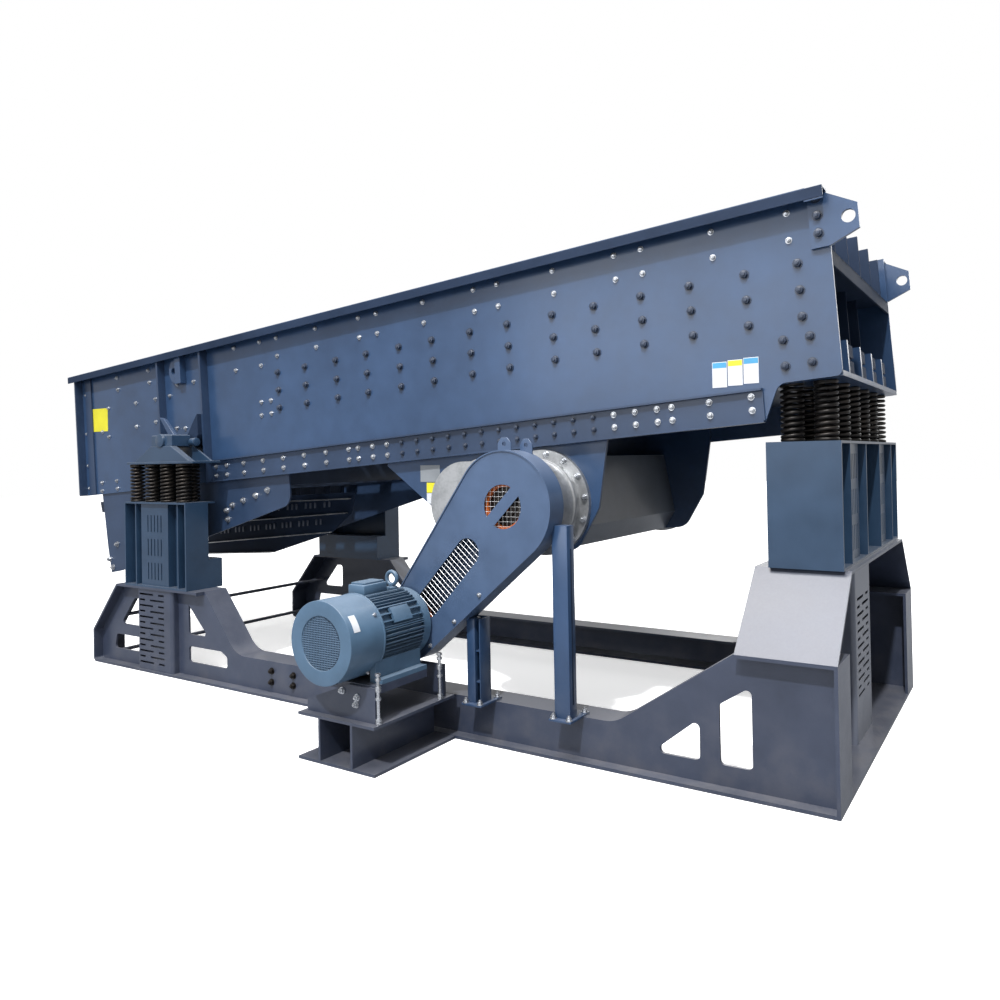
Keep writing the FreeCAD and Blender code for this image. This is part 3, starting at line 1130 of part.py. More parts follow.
for side, screw_y in (("front", front_screw), ("rear", rear_screw)):
    screws.append(column(f"{side}_adjusting_screw", (screw_x, screw_y, s.stand_height),
                         s.screw_length, s.screw_radius))
node("motor_adjusting_screws", group("motor_adjusting_screws", screws))

doc.recompute()
for thing in doc.Objects:
    if any(word in ("Invalid", "Error") for word in thing.State):
        raise RuntimeError(f"{thing.Name} failed: {thing.State}")
for piece in nodes:
    if piece.Shape.isNull() or not piece.Shape.isValid():
        raise RuntimeError(f"{piece.Label} has no valid shape")
for piece in nodes:
    piece.Shape.exportStep(f"parts/{piece.Label}.step")
    print(piece.Label, len(piece.Shape.Solids), round(piece.Shape.Volume / 1e6, 2))
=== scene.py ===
import bpy
import math
from mathutils import Matrix, Vector


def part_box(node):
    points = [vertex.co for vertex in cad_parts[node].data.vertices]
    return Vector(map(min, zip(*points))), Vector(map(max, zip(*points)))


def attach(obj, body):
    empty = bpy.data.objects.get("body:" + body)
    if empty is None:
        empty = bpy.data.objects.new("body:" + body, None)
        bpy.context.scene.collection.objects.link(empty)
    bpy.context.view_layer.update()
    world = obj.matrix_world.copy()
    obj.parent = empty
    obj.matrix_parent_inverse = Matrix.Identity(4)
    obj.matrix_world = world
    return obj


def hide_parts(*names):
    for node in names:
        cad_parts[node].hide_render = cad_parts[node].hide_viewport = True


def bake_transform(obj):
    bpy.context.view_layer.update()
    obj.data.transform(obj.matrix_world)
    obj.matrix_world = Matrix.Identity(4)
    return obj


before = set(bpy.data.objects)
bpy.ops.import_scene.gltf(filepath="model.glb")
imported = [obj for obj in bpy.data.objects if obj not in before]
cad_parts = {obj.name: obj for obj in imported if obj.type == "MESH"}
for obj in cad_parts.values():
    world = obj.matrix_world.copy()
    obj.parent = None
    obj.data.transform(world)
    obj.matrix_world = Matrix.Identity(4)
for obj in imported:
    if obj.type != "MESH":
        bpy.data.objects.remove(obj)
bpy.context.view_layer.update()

# Camera: held at eye height off the near corner of the feed end, and turned towards the discharge
# end. Its place was fitted to the frame's measured corners; the picture sits a little off centre.
EYE = (0.934, -4.478, 1.495)
EYE_TURNS = (90.581, 1.065, 32.048)
camera_data = bpy.data.cameras.new("camera")
camera_data.sensor_width = 36
camera_data.lens = 28.776
camera_data.shift_x = -0.0403
camera_data.shift_y = -0.0498
camera = bpy.data.objects.new("camera", camera_data)
camera.location = EYE
camera.rotation_euler = [math.radians(turn) for turn in EYE_TURNS]
bpy.context.scene.collection.objects.link(camera)
bpy.context.scene.camera = camera
bpy.context.scene.view_settings.view_transform = "Standard"


# Shader maths: a socket that adds, subtracts and multiplies like a number, so that a finish reads as
# a formula, and one call that makes any other node.
class Flow:
    def __init__(self, tree, socket):
        self.tree = tree
        self.socket = socket

    def make(self, kind, settings, values, output=0):
        """Adds a node: its settings first, then the values or links of its sockets."""
        added = self.tree.nodes.new(kind)
        for name, value in settings.items():
            setattr(added, name, value)
        for name, value in values.items():
            target = added.inputs[name]
            if isinstance(value, Flow):
                self.tree.links.new(value.socket, target)
            else:
                target.default_value = value
        return Flow(self.tree, added.outputs[output])

    def maths(self, operation, first, second):
        return self.make("ShaderNodeMath", {"operation": operation}, {0: first, 1: second})

    def __add__(self, other):
        return self.maths("ADD", self, other)

    def __radd__(self, other):
        return self.maths("ADD", other, self)

    def __sub__(self, other):
        return self.maths("SUBTRACT", self, other)

    def __rsub__(self, other):
        return self.maths("SUBTRACT", other, self)

    def __mul__(self, other):
        return self.maths("MULTIPLY", self, other)

    def __rmul__(self, other):
        return self.maths("MULTIPLY", other, self)

    def over(self, low, high):
        """0 below low, 1 above high."""
        return self.make("ShaderNodeMapRange", {"clamp": True},
                         {"Value": self, "From Min": low, "From Max": high})


def new_material(name):
    """An empty node material, its shader and a place in Object coordinates to start from."""
    material = bpy.data.materials.new(name)
    material.use_nodes = True
    tree = material.node_tree
    tree.nodes.clear()
    shader = tree.nodes.new("ShaderNodeBsdfPrincipled")
    output = tree.nodes.new("ShaderNodeOutputMaterial")
    tree.links.new(shader.outputs[0], output.inputs["Surface"])
    place = Flow(tree, None).make("ShaderNodeTexCoord", {}, {}, "Object")
    return material, shader, place


def feed(flow, shader, socket):
    flow.tree.links.new(flow.socket, shader.inputs[socket])


def noise(place, scale, detail, roughness=0.55):
    return place.make("ShaderNodeTexNoise", {}, {"Vector": place, "Scale": scale, "Detail": detail,
                                                  "Roughness": roughness}, "Fac")


def mixed(factor, first, second):
    """Two colours mixed by a mask."""
    added = factor.tree.nodes.new("ShaderNodeMix")
    added.data_type = "RGBA"
    factor.tree.links.new(factor.socket, added.inputs["Factor"])
    for side, colour in (("A", first), ("B", second)):
        socket = [s for s in added.inputs if s.name == side and s.type == "RGBA"][0]
        if isinstance(colour, Flow):
            factor.tree.links.new(colour.socket, socket)
        else:
            socket.default_value = (*colour, 1)
    return Flow(factor.tree, [s for s in added.outputs if s.type == "RGBA"][0])


# Floor: a plain white sheet under the whole feeder. It is white to the camera and grey to the
# object, whose sides stay dark.
FLOOR_SIZE = 80
FLOOR_GREY = (0.30, 0.31, 0.33)
FLOOR_WHITE = (0.93, 0.93, 0.93)
bpy.ops.object.select_all(action="DESELECT")
bpy.ops.mesh.primitive_plane_add(size=FLOOR_SIZE, location=(-2.5, 0, -0.002))
floor = bpy.context.object
floor.name = "floor"
floor_material, shader, place = new_material("floor_white")
rays = place.make("ShaderNodeLightPath", {}, {}, "Is Camera Ray")
feed(mixed(rays, FLOOR_GREY, FLOOR_WHITE), shader, "Base Color")
feed(mixed(rays, (0, 0, 0), (1, 1, 1)), shader, "Emission Color")
shader.inputs["Emission Strength"].default_value = 0.5
shader.inputs["Roughness"].default_value = 0.9
shader.inputs["Specular IOR Level"].default_value = 0.0
floor.data.materials.append(floor_material)


# Light: an even pale surround that is white to the camera, a wide lamp overhead, softer ones from
# the camera's side and the far side, and a high sun that throws the rail's shadow on the side plate.
SURROUND = 0.45
MIRRORED_SHARE = 0.35
world = bpy.data.worlds.new("surround")
bpy.context.scene.world = world
world.use_nodes = True
sky = world.node_tree
sky.nodes.clear()
path = sky.nodes.new("ShaderNodeLightPath")
seen = Flow(sky, path.outputs["Is Camera Ray"])
through = Flow(sky, path.outputs["Is Transmission Ray"])
mirrored = Flow(sky, path.outputs["Is Glossy Ray"])
background = sky.nodes.new("ShaderNodeBackground")
world_output = sky.nodes.new("ShaderNodeOutputWorld")
sky.links.new(background.outputs[0], world_output.inputs["Surface"])
white_share = seen.maths("MINIMUM", seen + through + mirrored * MIRRORED_SHARE, 1.0)
strength = white_share * (1 - SURROUND) + SURROUND
sky.links.new(strength.socket, background.inputs["Strength"])
background.inputs["Color"].default_value = (1, 1, 1, 1)


def lamp(name, place, target, size, watts, colour):
    data = bpy.data.lights.new(name, "AREA")
    data.shape = "RECTANGLE"
    data.size, data.size_y = size
    data.energy = watts
    data.color = colour
    shade = bpy.data.objects.new(name, data)
    aim = Vector(target) - Vector(place)
    shade.matrix_world = Matrix.Translation(place) @ aim.to_track_quat("-Z", "Y").to_matrix().to_4x4()
    bpy.context.scene.collection.objects.link(shade)


lamp("overhead", (-2.5, -0.5, 7.5), (-2.5, 0, 0), (9, 5), 380, (1, 0.99, 0.97))
lamp("pedestal_glint", (-1.3, -2.6, 5.6), (0, -0.95, 0.8), (3.5, 2.5), 260, (1, 0.98, 0.98))
lamp("camera_side", (-3.5, -9.5, 3.6), (-2.5, 0, 1.4), (7, 3), 200, (0.93, 0.96, 1))
lamp("far_side", (-1.5, 9, 4.5), (-2.5, 0, 1.2), (7, 3), 260, (1, 1, 1))
SUN_FALL = (-0.12, 0.58, -0.80)
sun_data = bpy.data.lights.new("high_sun", "SUN")
sun_data.energy = 3.2
sun_data.angle = math.radians(2)
sun = bpy.data.objects.new("high_sun", sun_data)
sun.matrix_world = Vector(SUN_FALL).to_track_quat("-Z", "Y").to_matrix().to_4x4()
bpy.context.scene.collection.objects.link(sun)


# Support frame: welded plate, sprayed with a glossy two-pack enamel. It has a faint orange peel, soft
# waviness, a film of dust on its upward faces and dull rubbed patches low down.
DUST_GREY = (0.34, 0.33, 0.32)
RUBBED_BROWN = (0.12, 0.105, 0.09)


def painted(name, colour, rough=0.32, dust=0.12, peel=0.05, grime=0.25, coat=0.25, shine=0.5):
    """Sprayed enamel; shine is its specular level."""
    material, shader, place = new_material(name)
    cloud = noise(place, 1.3, 4)
    patch = noise(place, 6.5, 5, 0.6)
    speck = noise(place, 90, 2)
    tone = (cloud * 0.6 + patch * 0.4).over(0.35, 0.68)
    lighter = tuple(min(1, channel * 1.22 + 0.004) for channel in colour)
    darker = tuple(channel * 0.80 for channel in colour)
    base = mixed(tone, darker, lighter)
    normal = place.make("ShaderNodeNewGeometry", {}, {}, "Normal")
    up = place.make("ShaderNodeSeparateXYZ", {}, {"Vector": normal}, "Z")
    film = up.over(0.3, 0.95) * (patch * 0.7 + speck * 0.5) * dust * 2.2
    base = mixed(film.over(0, 1), base, DUST_GREY)
    height = place.make("ShaderNodeSeparateXYZ", {}, {"Vector": place}, "Z")
    low = (1 - height.over(0.02, 0.5)) * patch.over(0.45, 0.7) * grime
    base = mixed(low.over(0, 1), base, RUBBED_BROWN)
    feed(base, shader, "Base Color")
    feed(patch * 0.16 + speck * 0.06 + (rough - 0.09) + low * 0.3 + film * 0.3, shader, "Roughness")
    shader.inputs["Specular IOR Level"].default_value = shine
    shader.inputs["Coat Weight"].default_value = coat
    shader.inputs["Coat Roughness"].default_value = 0.16
    relief = noise(place, 240, 2) * peel + noise(place, 2.6, 1) * 0.35
    bump = place.make("ShaderNodeBump", {}, {"Strength": 0.35, "Distance": 0.012, "Height": relief})
    feed(bump, shader, "Normal")
    return material


def dress(names, material):
    """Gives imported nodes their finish."""
    for name in names:
        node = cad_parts[name]
        node.data.materials.clear()
        node.data.materials.append(material)


frame_paint = painted("frame_paint", (0.034, 0.044, 0.074), rough=0.34, grime=0.22)
# The feed post inside the pedestal takes a paint far lighter than the frame's: painted light for the light
# that reaches it in its shade.
post_with_painted_light = painted("inner_post_with_painted_light", (0.110, 0.125, 0.165), rough=0.36)
dress(("near_side_frame", "far_side_frame", "near_slotted_post", "far_slotted_post",
       "discharge_cross_ties", "feed_pedestal", "motor_stand", "motor_mount"), frame_paint)
dress(("feed_slotted_post",), post_with_painted_light)


# Spring boxes: folded sheet with slotted panels, welded shut, on the frame's towers and on the feed
# pedestal, in a bluer enamel than the frame's.
box_paint = painted("spring_box_paint", (0.018, 0.044, 0.088))
dress(("near_discharge_spring_box", "far_discharge_spring_box", "feed_spring_box"), box_paint)


# Trough: heavy side plates with stiffeners, skirts and a seat for the springs, in blue enamel. The
# stiffeners and skirts take a darker copy of that enamel: painted shade for their faces turned from the
# light. Its pan, liners, grizzly bars and beams are duller and dustier than the plates.
trough_paint = painted("trough_paint", (0.022, 0.052, 0.117), rough=0.30, dust=0.06)
# Darker copy of the trough's enamel for the stiffeners and skirts: painted shade.
stiffener_with_painted_shade = painted("stiffener_with_painted_shade", (0.019, 0.039, 0.084), rough=0.36, dust=0.06, coat=0.1)
under_paint = painted("under_paint", (0.026, 0.040, 0.070), rough=0.5, dust=0.2, shine=0.25)
dress(("near_side_plate", "far_side_plate", "feed_spring_seat", "near_hanging_plate",
       "far_hanging_plate"), trough_paint)
dress(("near_side_stiffeners", "far_side_stiffeners", "near_skirt_plate", "far_skirt_plate"),
      stiffener_with_painted_shade)
dress(("feed_pan", "near_side_liner", "far_side_liner", "upper_grizzly_bars", "lower_grizzly_bars",
       "grizzly_cross_beams"), under_paint)


# Coil springs: black enamelled bar wound ten times, its end turns closed flat. Those at the discharge
# end stand in two staggered rows on each box, those at the feed end in two rows across the trough.
def metal(name, colour, rough, tarnish, grain=180):
    """Bare or plated steel: mottled colour and roughness, fine grain."""
    material, shader, place = new_material(name)
    spangle = noise(place, grain, 3)
    cloud = noise(place, 9, 4)
    feed(mixed((cloud * 0.7 + spangle * 0.3).over(0.42, 0.7), colour, tarnish), shader, "Base Color")
    feed(spangle * 0.2 + (rough - 0.1), shader, "Roughness")
    shader.inputs["Metallic"].default_value = 0.9
    bump = place.make("ShaderNodeBump", {}, {"Strength": 0.2, "Distance": 0.001, "Height": spangle})
    feed(bump, shader, "Normal")
    return material


def settle():
    bpy.ops.object.select_all(action="DESELECT")


def only(piece):
    settle()
    piece.select_set(True)
    bpy.context.view_layer.objects.active = piece


def place_mesh(piece):
    """Moves a piece's place into its mesh."""
    only(piece)
    bpy.ops.object.transform_apply(location=True, rotation=True, scale=True)
    return piece


def join(name, pieces):
    settle()
    for piece in pieces:
        piece.select_set(True)
    bpy.context.view_layer.objects.active = pieces[0]
    bpy.ops.object.join()
    pieces[0].name = name
    return place_mesh(pieces[0])


def apply_modifier(piece, kind, **settings):
    only(piece)
    modifier = piece.modifiers.new(kind, kind)
    for name, value in settings.items():
        setattr(modifier, name, value)
    bpy.ops.object.modifier_apply(modifier=modifier.name)


def finish_piece(piece, material, body, angle=35):
    """One material, smooth where it is round, and the body that carries it, unless it is blended."""
    piece.data.materials.clear()
    piece.data.materials.append(material)
    only(piece)
    bpy.ops.object.shade_smooth_by_angle(angle=math.radians(angle))
    if body:
        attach(piece, body)


def copies(name, pattern, places):
    """Copies of one pattern at the given matrices, joined to one piece; the pattern goes."""
    made = []
    for place in places:
        piece = pattern.copy()
        piece.data = pattern.data.copy()
        piece.matrix_world = place
        bpy.context.scene.collection.objects.link(piece)
        made.append(piece)
    bpy.data.objects.remove(pattern)
    return join(name, made)


def coil(radius, wire, height, turns):
    """One spring on the origin, standing on z = 0; wire is the bar's radius."""
    settle()
    bpy.ops.mesh.primitive_circle_add(vertices=10, radius=wire, location=(radius - wire, 0, wire),
                                      rotation=(math.pi / 2, 0, 0))
    spring = place_mesh(bpy.context.object)
    apply_modifier(spring, "SCREW", axis="Z", screw_offset=(height - wire * 2) / turns,
                   iterations=turns, steps=22, render_steps=22)
    only(spring)
    bpy.ops.object.mode_set(mode="EDIT")
    bpy.ops.mesh.select_all(action="SELECT")
    bpy.ops.mesh.remove_doubles(threshold=0.00001)
    bpy.ops.mesh.select_non_manifold()
    bpy.ops.mesh.fill_holes(sides=0)
    bpy.ops.object.mode_set(mode="OBJECT")
    ends = [spring]
    for end in (wire, height - wire):
        settle()
        bpy.ops.mesh.primitive_torus_add(major_radius=radius - wire, minor_radius=wire,
                                         location=(0, 0, end), major_segments=28, minor_segments=10)
        ends.append(place_mesh(bpy.context.object))
    spring = join("spring", ends)
    bpy.ops.object.mode_set(mode="EDIT")
    bpy.ops.mesh.select_all(action="SELECT")
    bpy.ops.mesh.normals_make_consistent(inside=False)
    bpy.ops.object.mode_set(mode="OBJECT")
    return spring


def springs(node, name, columns, radius, wire):
    """Coils in a node's place at the given columns, which stretch between the base and the trough."""
    low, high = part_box(node)
    pattern = coil(radius, wire, high[2] - low[2], 10)
    piece = copies(name, pattern, [Matrix.Translation((x, y, low[2])) for x, y in columns])
    finish_piece(piece, black_steel, None, 50)
    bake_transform(piece)
    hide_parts(node)


black_steel = metal("blackened_steel", (0.030, 0.028, 0.027), 0.42, (0.05, 0.042, 0.036))
SPRING_RADIUS = 0.053
SPRING_WIRE = 0.0085
SPRING_PITCH = 0.187
STAGGER = 0.129
ROW_GAP = 0.105
for node, side in (("near_discharge_springs", -1), ("far_discharge_springs", 1)):
    low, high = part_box(node)
    front = low[0] + SPRING_RADIUS
    outer = max(abs(low[1]), abs(high[1])) - SPRING_RADIUS
    columns = [(front + SPRING_PITCH * number, side * outer) for number in range(4)]
    columns += [(front + STAGGER + SPRING_PITCH * number, side * (outer - ROW_GAP)) for number in range(3)]
    springs(node, node + "_coils", columns, SPRING_RADIUS, SPRING_WIRE)
FEED_SPRING_RADIUS = 0.056
FEED_SPRING_WIRE = 0.009
FEED_SPRING_SPACING = 0.26
low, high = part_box("feed_springs")
rows = (low[0] + FEED_SPRING_RADIUS, high[0] - FEED_SPRING_RADIUS)
columns = [(x, FEED_SPRING_SPACING * (number - 2.5)) for x in rows for number in range(6)]
springs("feed_springs", "feed_spring_coils", columns, FEED_SPRING_RADIUS, FEED_SPRING_WIRE)


# Side plate bolts: hexagon heads on washers, the ends of their threads above the nuts. Painted ones hold
# the liners and the lifting ears, zinc plated ones the rail, the uprights and the lower rail. The lower
# rail's middle ones, behind the drive, take the dark bolt paint in place of zinc: painted shade.
def rod(name, start, end, radius, sides=24, edge=0.0):
    """A round bar from start to end, its edges broken where edge is given."""
    start = Vector(start)
    end = Vector(end)
    aim = end - start
    settle()
    bpy.ops.mesh.primitive_cone_add(vertices=sides, radius1=radius, radius2=radius, depth=aim.length)
    piece = bpy.context.object
    turn = aim.to_track_quat("Z", "Y").to_matrix().to_4x4()
    piece.matrix_world = Matrix.Translation((start + end) / 2) @ turn
    piece = place_mesh(piece)
    piece.name = name
    if edge:
        apply_modifier(piece, "BEVEL", width=edge, segments=2, limit_method="ANGLE")
    return piece


HEXAGON_CORNER = 0.577
WASHER = 0.003


def bolt(across, thread):
    """A bolt standing up from z = 0: its size across flats, and how far its thread stands out."""
    top = WASHER + across * 0.5
    washer = rod("washer", (0, 0, -0.001), (0, 0, WASHER), across * 0.74, 20)
    head = rod("head", (0, 0, WASHER), (0, 0, top), across * HEXAGON_CORNER, 6, 0.0012)
    end = rod("thread", (0, 0, WASHER), (0, 0, top + thread), across * 0.3, 12, 0.001)
    return join("bolt", [washer, head, end])


def facing(place, direction, spin=0.0):
    """A matrix that stands a pattern on a surface at place."""
    turn = Vector(direction).to_track_quat("Z", "Y").to_matrix().to_4x4()
    return Matrix.Translation(place) @ turn @ Matrix.Rotation(spin, 4, "Z")


TILT = math.radians(3.9)
TROUGH_FOOT = (-6.033, 1.240)
SIDE = 0.785


def on_trough(along, across, up):
    """A place on the sloping trough: along it from the discharge end, across it, and up from its edge."""
    return (TROUGH_FOOT[0] + along * math.cos(TILT) - up * math.sin(TILT), across,
            TROUGH_FOOT[1] + along * math.sin(TILT) + up * math.cos(TILT))


def both_sides(spots, out=SIDE):
    """Places for fasteners on the outer faces of both side plates."""
    placed = []
    for side in (-1, 1):
        for number, (along, up) in enumerate(spots):
            placed.append(facing(on_trough(along, side * out, up), (0, side, 0), number * 0.7))
    return placed


bolt_paint = painted("bolt_paint", (0.018, 0.030, 0.058), rough=0.35)
bright_zinc = metal("bright_zinc", (0.58, 0.60, 0.63), 0.28, (0.34, 0.35, 0.37))
LINER_COLUMNS = (2.600, 2.870, 3.160, 3.430, 3.705, 3.965, 4.250, 4.510, 4.805, 5.060, 5.330, 5.590,
                 5.865, 6.112)
LINER_ROWS = (0.458, 0.580, 0.702)
liner_spots = [(along, up) for along in LINER_COLUMNS for up in LINER_ROWS]
liner_spots += [(6.017, 0.245), (6.138, 0.247), (6.017, 0.365), (6.138, 0.365)]
liner_bolts = copies("liner_bolts", bolt(0.032, 0.006), both_sides(liner_spots))
finish_piece(liner_bolts, bolt_paint, "trough")
EAR_FACE = SIDE + 0.020
ear_spots = [(6.220, up) for up in (0.812, 0.891, 0.971)]
ear_bolts = copies("lifting_ear_bolts", bolt(0.032, 0.006), both_sides(ear_spots, EAR_FACE))
finish_piece(ear_bolts, bolt_paint, "trough")

RAIL_COLUMNS = (2.153, 2.430, 2.605, 2.990, 3.382, 3.536, 3.916, 4.295, 4.461, 4.828, 5.200, 5.352,
                5.722, 6.083)
RAIL_ROW = 0.940
SECOND_ROW = 0.815
bright_spots = [(along, RAIL_ROW) for along in RAIL_COLUMNS]
bright_spots += [(along, SECOND_ROW) for along in RAIL_COLUMNS if along > 2.5]
bright_spots += [(2.162, 0.778), (2.435, 0.773)]
bright_spots += [(2.415, 0.520), (2.515, 0.520), (2.410, 0.428), (2.513, 0.430)]
bright_spots += [(0.181, 0.250), (0.184, 0.518), (0.198, 0.844), (0.184, 0.060), (0.665, 0.930),
                 (0.675, 0.832), (0.914, 0.694), (1.102, 0.930), (1.111, 0.833), (0.909, 0.507),
                 (1.170, 0.516), (1.179, 0.693), (1.243, 0.828), (0.512, 0.463), (0.423, 0.514),
                 (0.524, 0.697), (0.592, 0.095), (0.597, 0.032), (0.378, 0.095), (0.372, 0.026),
                 (1.366, 0.695), (1.467, 0.771), (1.669, 0.764), (1.539, 0.428), (1.433, 0.439),
                 (1.695, 0.362), (1.701, 0.441)]
plate_bolts = copies("side_plate_bolts", bolt(0.021, 0.004), both_sides(bright_spots))
finish_piece(plate_bolts, bright_zinc, "trough")

LOWER_RAIL_FACE = SIDE + 0.010
LOWER_RAIL_START = 1.890
lower_columns = [LOWER_RAIL_START, 2.010] + [2.200 + 0.207 * number for number in range(6)] + [3.318]
lower_columns += [3.443 + 0.1206 * number for number in range(17)] + [5.451, 5.645, 5.850]
# The lower rail's bolts behind the drive get dark paint in place of zinc: painted shade.
painted_shade_middle = [along for along in lower_columns if 3.570 <= along <= 5.025]
shiny = [along for along in lower_columns if along not in painted_shade_middle]
for name, columns, finish in (("lower_rail_bolts", shiny, bright_zinc),
                              ("lower_rail_bolts_in_painted_shade", painted_shade_middle, bolt_paint)):
    row_spots = []
    for first_height, rise in ((0.110, 0.015), (0.043, 0.019)):
        row_spots += [(along, first_height + rise * (along - LOWER_RAIL_START) / 4) for along in columns]
    row_bolts = copies(name, bolt(0.022, 0.004), both_sides(row_spots, LOWER_RAIL_FACE))
    finish_piece(row_bolts, finish, "trough")


# Skirt fasteners: zinc plated bolts, heads outwards, which hold the chute's liners to the skirts. The
# skirts hang below both side plates, flush with their inner faces.
PLATE_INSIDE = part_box("far_side_plate")[0][1]
skirt_spots = [(2.405, -0.095), (2.278, -0.125), (2.141, -0.152), (2.018, -0.179), (1.950, -0.214),
               (1.959, -0.279), (0.525, -0.420), (0.406, -0.539), (0.450, -0.605)]
skirt_bolts = copies("skirt_bolts", bolt(0.030, 0.008), both_sides(skirt_spots, PLATE_INSIDE))
finish_piece(skirt_bolts, bright_zinc, "trough")


# Lifting lug and levers: half-round plate with an eye, backed by an upright bar, between the two
# uprights; below it the lever and the wing plate that hold the saddle's trunnion.
def plate(name, outline, start, end, edge):
    """A flat plate: its outline in x and z, its faces at y start and y end."""
    settle()
    bpy.ops.mesh.primitive_circle_add(vertices=len(outline), radius=1, fill_type="NGON")
    piece = bpy.context.object
    for corner, (x, z) in zip(piece.data.vertices, outline):
        corner.co = (x, start, z)
    only(piece)
    bpy.ops.object.mode_set(mode="EDIT")
    bpy.ops.mesh.select_all(action="SELECT")
    bpy.ops.mesh.extrude_region_move(TRANSFORM_OT_translate={"value": (0, end - start, 0)})
    bpy.ops.mesh.select_all(action="SELECT")
    bpy.ops.mesh.normals_make_consistent(inside=False)
    bpy.ops.object.mode_set(mode="OBJECT")
    piece.name = name
    apply_modifier(piece, "BEVEL", width=edge, segments=1, limit_method="ANGLE")
    return piece


def drill(piece, start, end, radius):
    """Cuts a round hole right through."""
    cutter = rod("cutter", start, end, radius, 28)
    apply_modifier(piece, "BOOLEAN", operation="DIFFERENCE", object=cutter)
    bpy.data.objects.remove(cutter)


def sloping(corners):
    """Corners along and up the trough, as x and z."""
    placed = [on_trough(along, 0, up) for along, up in corners]
    return [(x, z) for x, y, z in placed]


def box_corners(low, high):
    """The four corners of a rectangle between its lowest and its highest."""
    return [(low[0], low[1]), (high[0], low[1]), (high[0], high[1]), (low[0], high[1])]


LUG_MIDDLE = (1.515, 0.868)
LUG_RADIUS = 0.105
LUG_STEPS = 14
LUG_EYE = 1.468
LUG_EYE_RADIUS = 0.026
DRILL_START = 0.70
DRILL_END = 0.90
LUG_THICKNESS = 0.030
BAR_THICKNESS = 0.052
LEVER_INSIDE = 0.905
LEVER_OUTSIDE = 0.935
WING_OUTSIDE = 0.880
BAR_LOW = (1.515, 0.763)
BAR_HIGH = (1.578, 0.969)
LEVER = [(1.443, 0.515), (1.500, 0.498), (1.630, 0.350), (1.570, 0.335)]
WING = [(1.814, 0.505), (1.814, 0.350), (1.740, 0.272), (1.662, 0.285), (1.690, 0.360), (1.755, 0.440)]
# A darker, rougher copy of the trough's enamel, painted shade: it goes where shade falls, on the wing
# plates, the rail's lip, the feed end, the chute stay and the guard leg's slot.
painted_shade_enamel = painted("feed_end_dark_painted_shade", (0.012, 0.024, 0.052), rough=0.60, dust=0.02, coat=0.0, shine=0.15)
for side, word in ((-1, "near"), (1, "far")):
    arc = [(LUG_MIDDLE[0] - LUG_RADIUS * math.sin(math.pi * step / LUG_STEPS),
            LUG_MIDDLE[1] + LUG_RADIUS * math.cos(math.pi * step / LUG_STEPS))
           for step in range(LUG_STEPS + 1)]
    lug = plate("lug", sloping(arc), side * SIDE, side * (SIDE + LUG_THICKNESS), 0.003)
    x, y, z = on_trough(LUG_EYE, 0, LUG_MIDDLE[1])
    drill(lug, (x, side * DRILL_START, z), (x, side * DRILL_END, z), LUG_EYE_RADIUS)
    bar = plate("bar", sloping(box_corners(BAR_LOW, BAR_HIGH)), side * SIDE,
                side * (SIDE + BAR_THICKNESS), 0.003)
    lever = plate("lever", sloping(LEVER), side * LEVER_INSIDE, side * LEVER_OUTSIDE, 0.003)
    wing = plate(word + "_wing_plate", sloping(WING), side * SIDE, side * WING_OUTSIDE, 0.003)
    # The wing plates take the dark enamel that is painted shade.
    finish_piece(wing, painted_shade_enamel, "trough")
    fittings = join(word + "_lifting_lug_and_levers", [lug, bar, lever])
    finish_piece(fittings, trough_paint, "trough")


# Spring saddle: the bracket that stands on the discharge springs and takes the trough's trunnion. A
# base plate, two raking gussets with a cap block between them, and the round trunnion.
TRUNNION = (-4.420, 1.672)
TRUNNION_RADIUS = 0.048
BASE_END = -4.030
BASE_THICKNESS = 0.016
BASE_INSIDE = 0.850
FRONT_FACES = (1.012, 1.062)
REAR_FACES = (0.868, 0.884)
CAP_FACES = (0.900, 1.055)
GUSSET = [(-4.746, 1.519), (-4.541, 1.632), (-4.300, 1.632), (-4.086, 1.519)]
for side, word in ((-1, "near"), (1, "far")):
    low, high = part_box(word + "_spring_saddle")
    outer = max(abs(low[1]), abs(high[1]))
    base = plate("base", box_corners((low[0], low[2]), (BASE_END, low[2] + BASE_THICKNESS)),
                 side * BASE_INSIDE, side * outer, 0.002)
    front = plate("front", GUSSET, side * FRONT_FACES[0], side * FRONT_FACES[1], 0.003)
    rear = plate("rear", GUSSET, side * REAR_FACES[0], side * REAR_FACES[1], 0.002)
    cap = plate("cap", box_corners((-4.540, 1.628), (-4.300, 1.712)), side * CAP_FACES[0],
                side * CAP_FACES[1], 0.006)
    trunnion = rod("trunnion", (TRUNNION[0], side * SIDE, TRUNNION[1]),
                   (TRUNNION[0], side * (outer - 0.003), TRUNNION[1]), TRUNNION_RADIUS, 32, 0.004)
    knuckle = rod("knuckle", (-4.290, side * 0.900, 1.660), (-4.230, side * 0.900, 1.660), 0.030, 20, 0.004)
    saddle = join(word + "_saddle_bracket", [base, front, rear, cap, trunnion, knuckle])
    finish_piece(saddle, box_paint, "trough")
    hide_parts(word + "_spring_saddle")


# Hanging plate corners: the rear corner of each hanging plate, cut from the same sheet, which runs up
# to the trough's bottom edge.
HANGING_CORNER = [(-2.510, 1.466), (-2.054, 1.147), (-1.950, 1.050), (-1.950, 1.528), (-2.050, 1.528),
                  (-2.500, 1.497)]
for side, word in ((-1, "near"), (1, "far")):
    corner = plate(word + "_hanging_plate_corner", HANGING_CORNER, side * (PLATE_INSIDE - 0.015),
                   side * (PLATE_INSIDE - 0.0005), 0.001)
    finish_piece(corner, trough_paint, "trough")
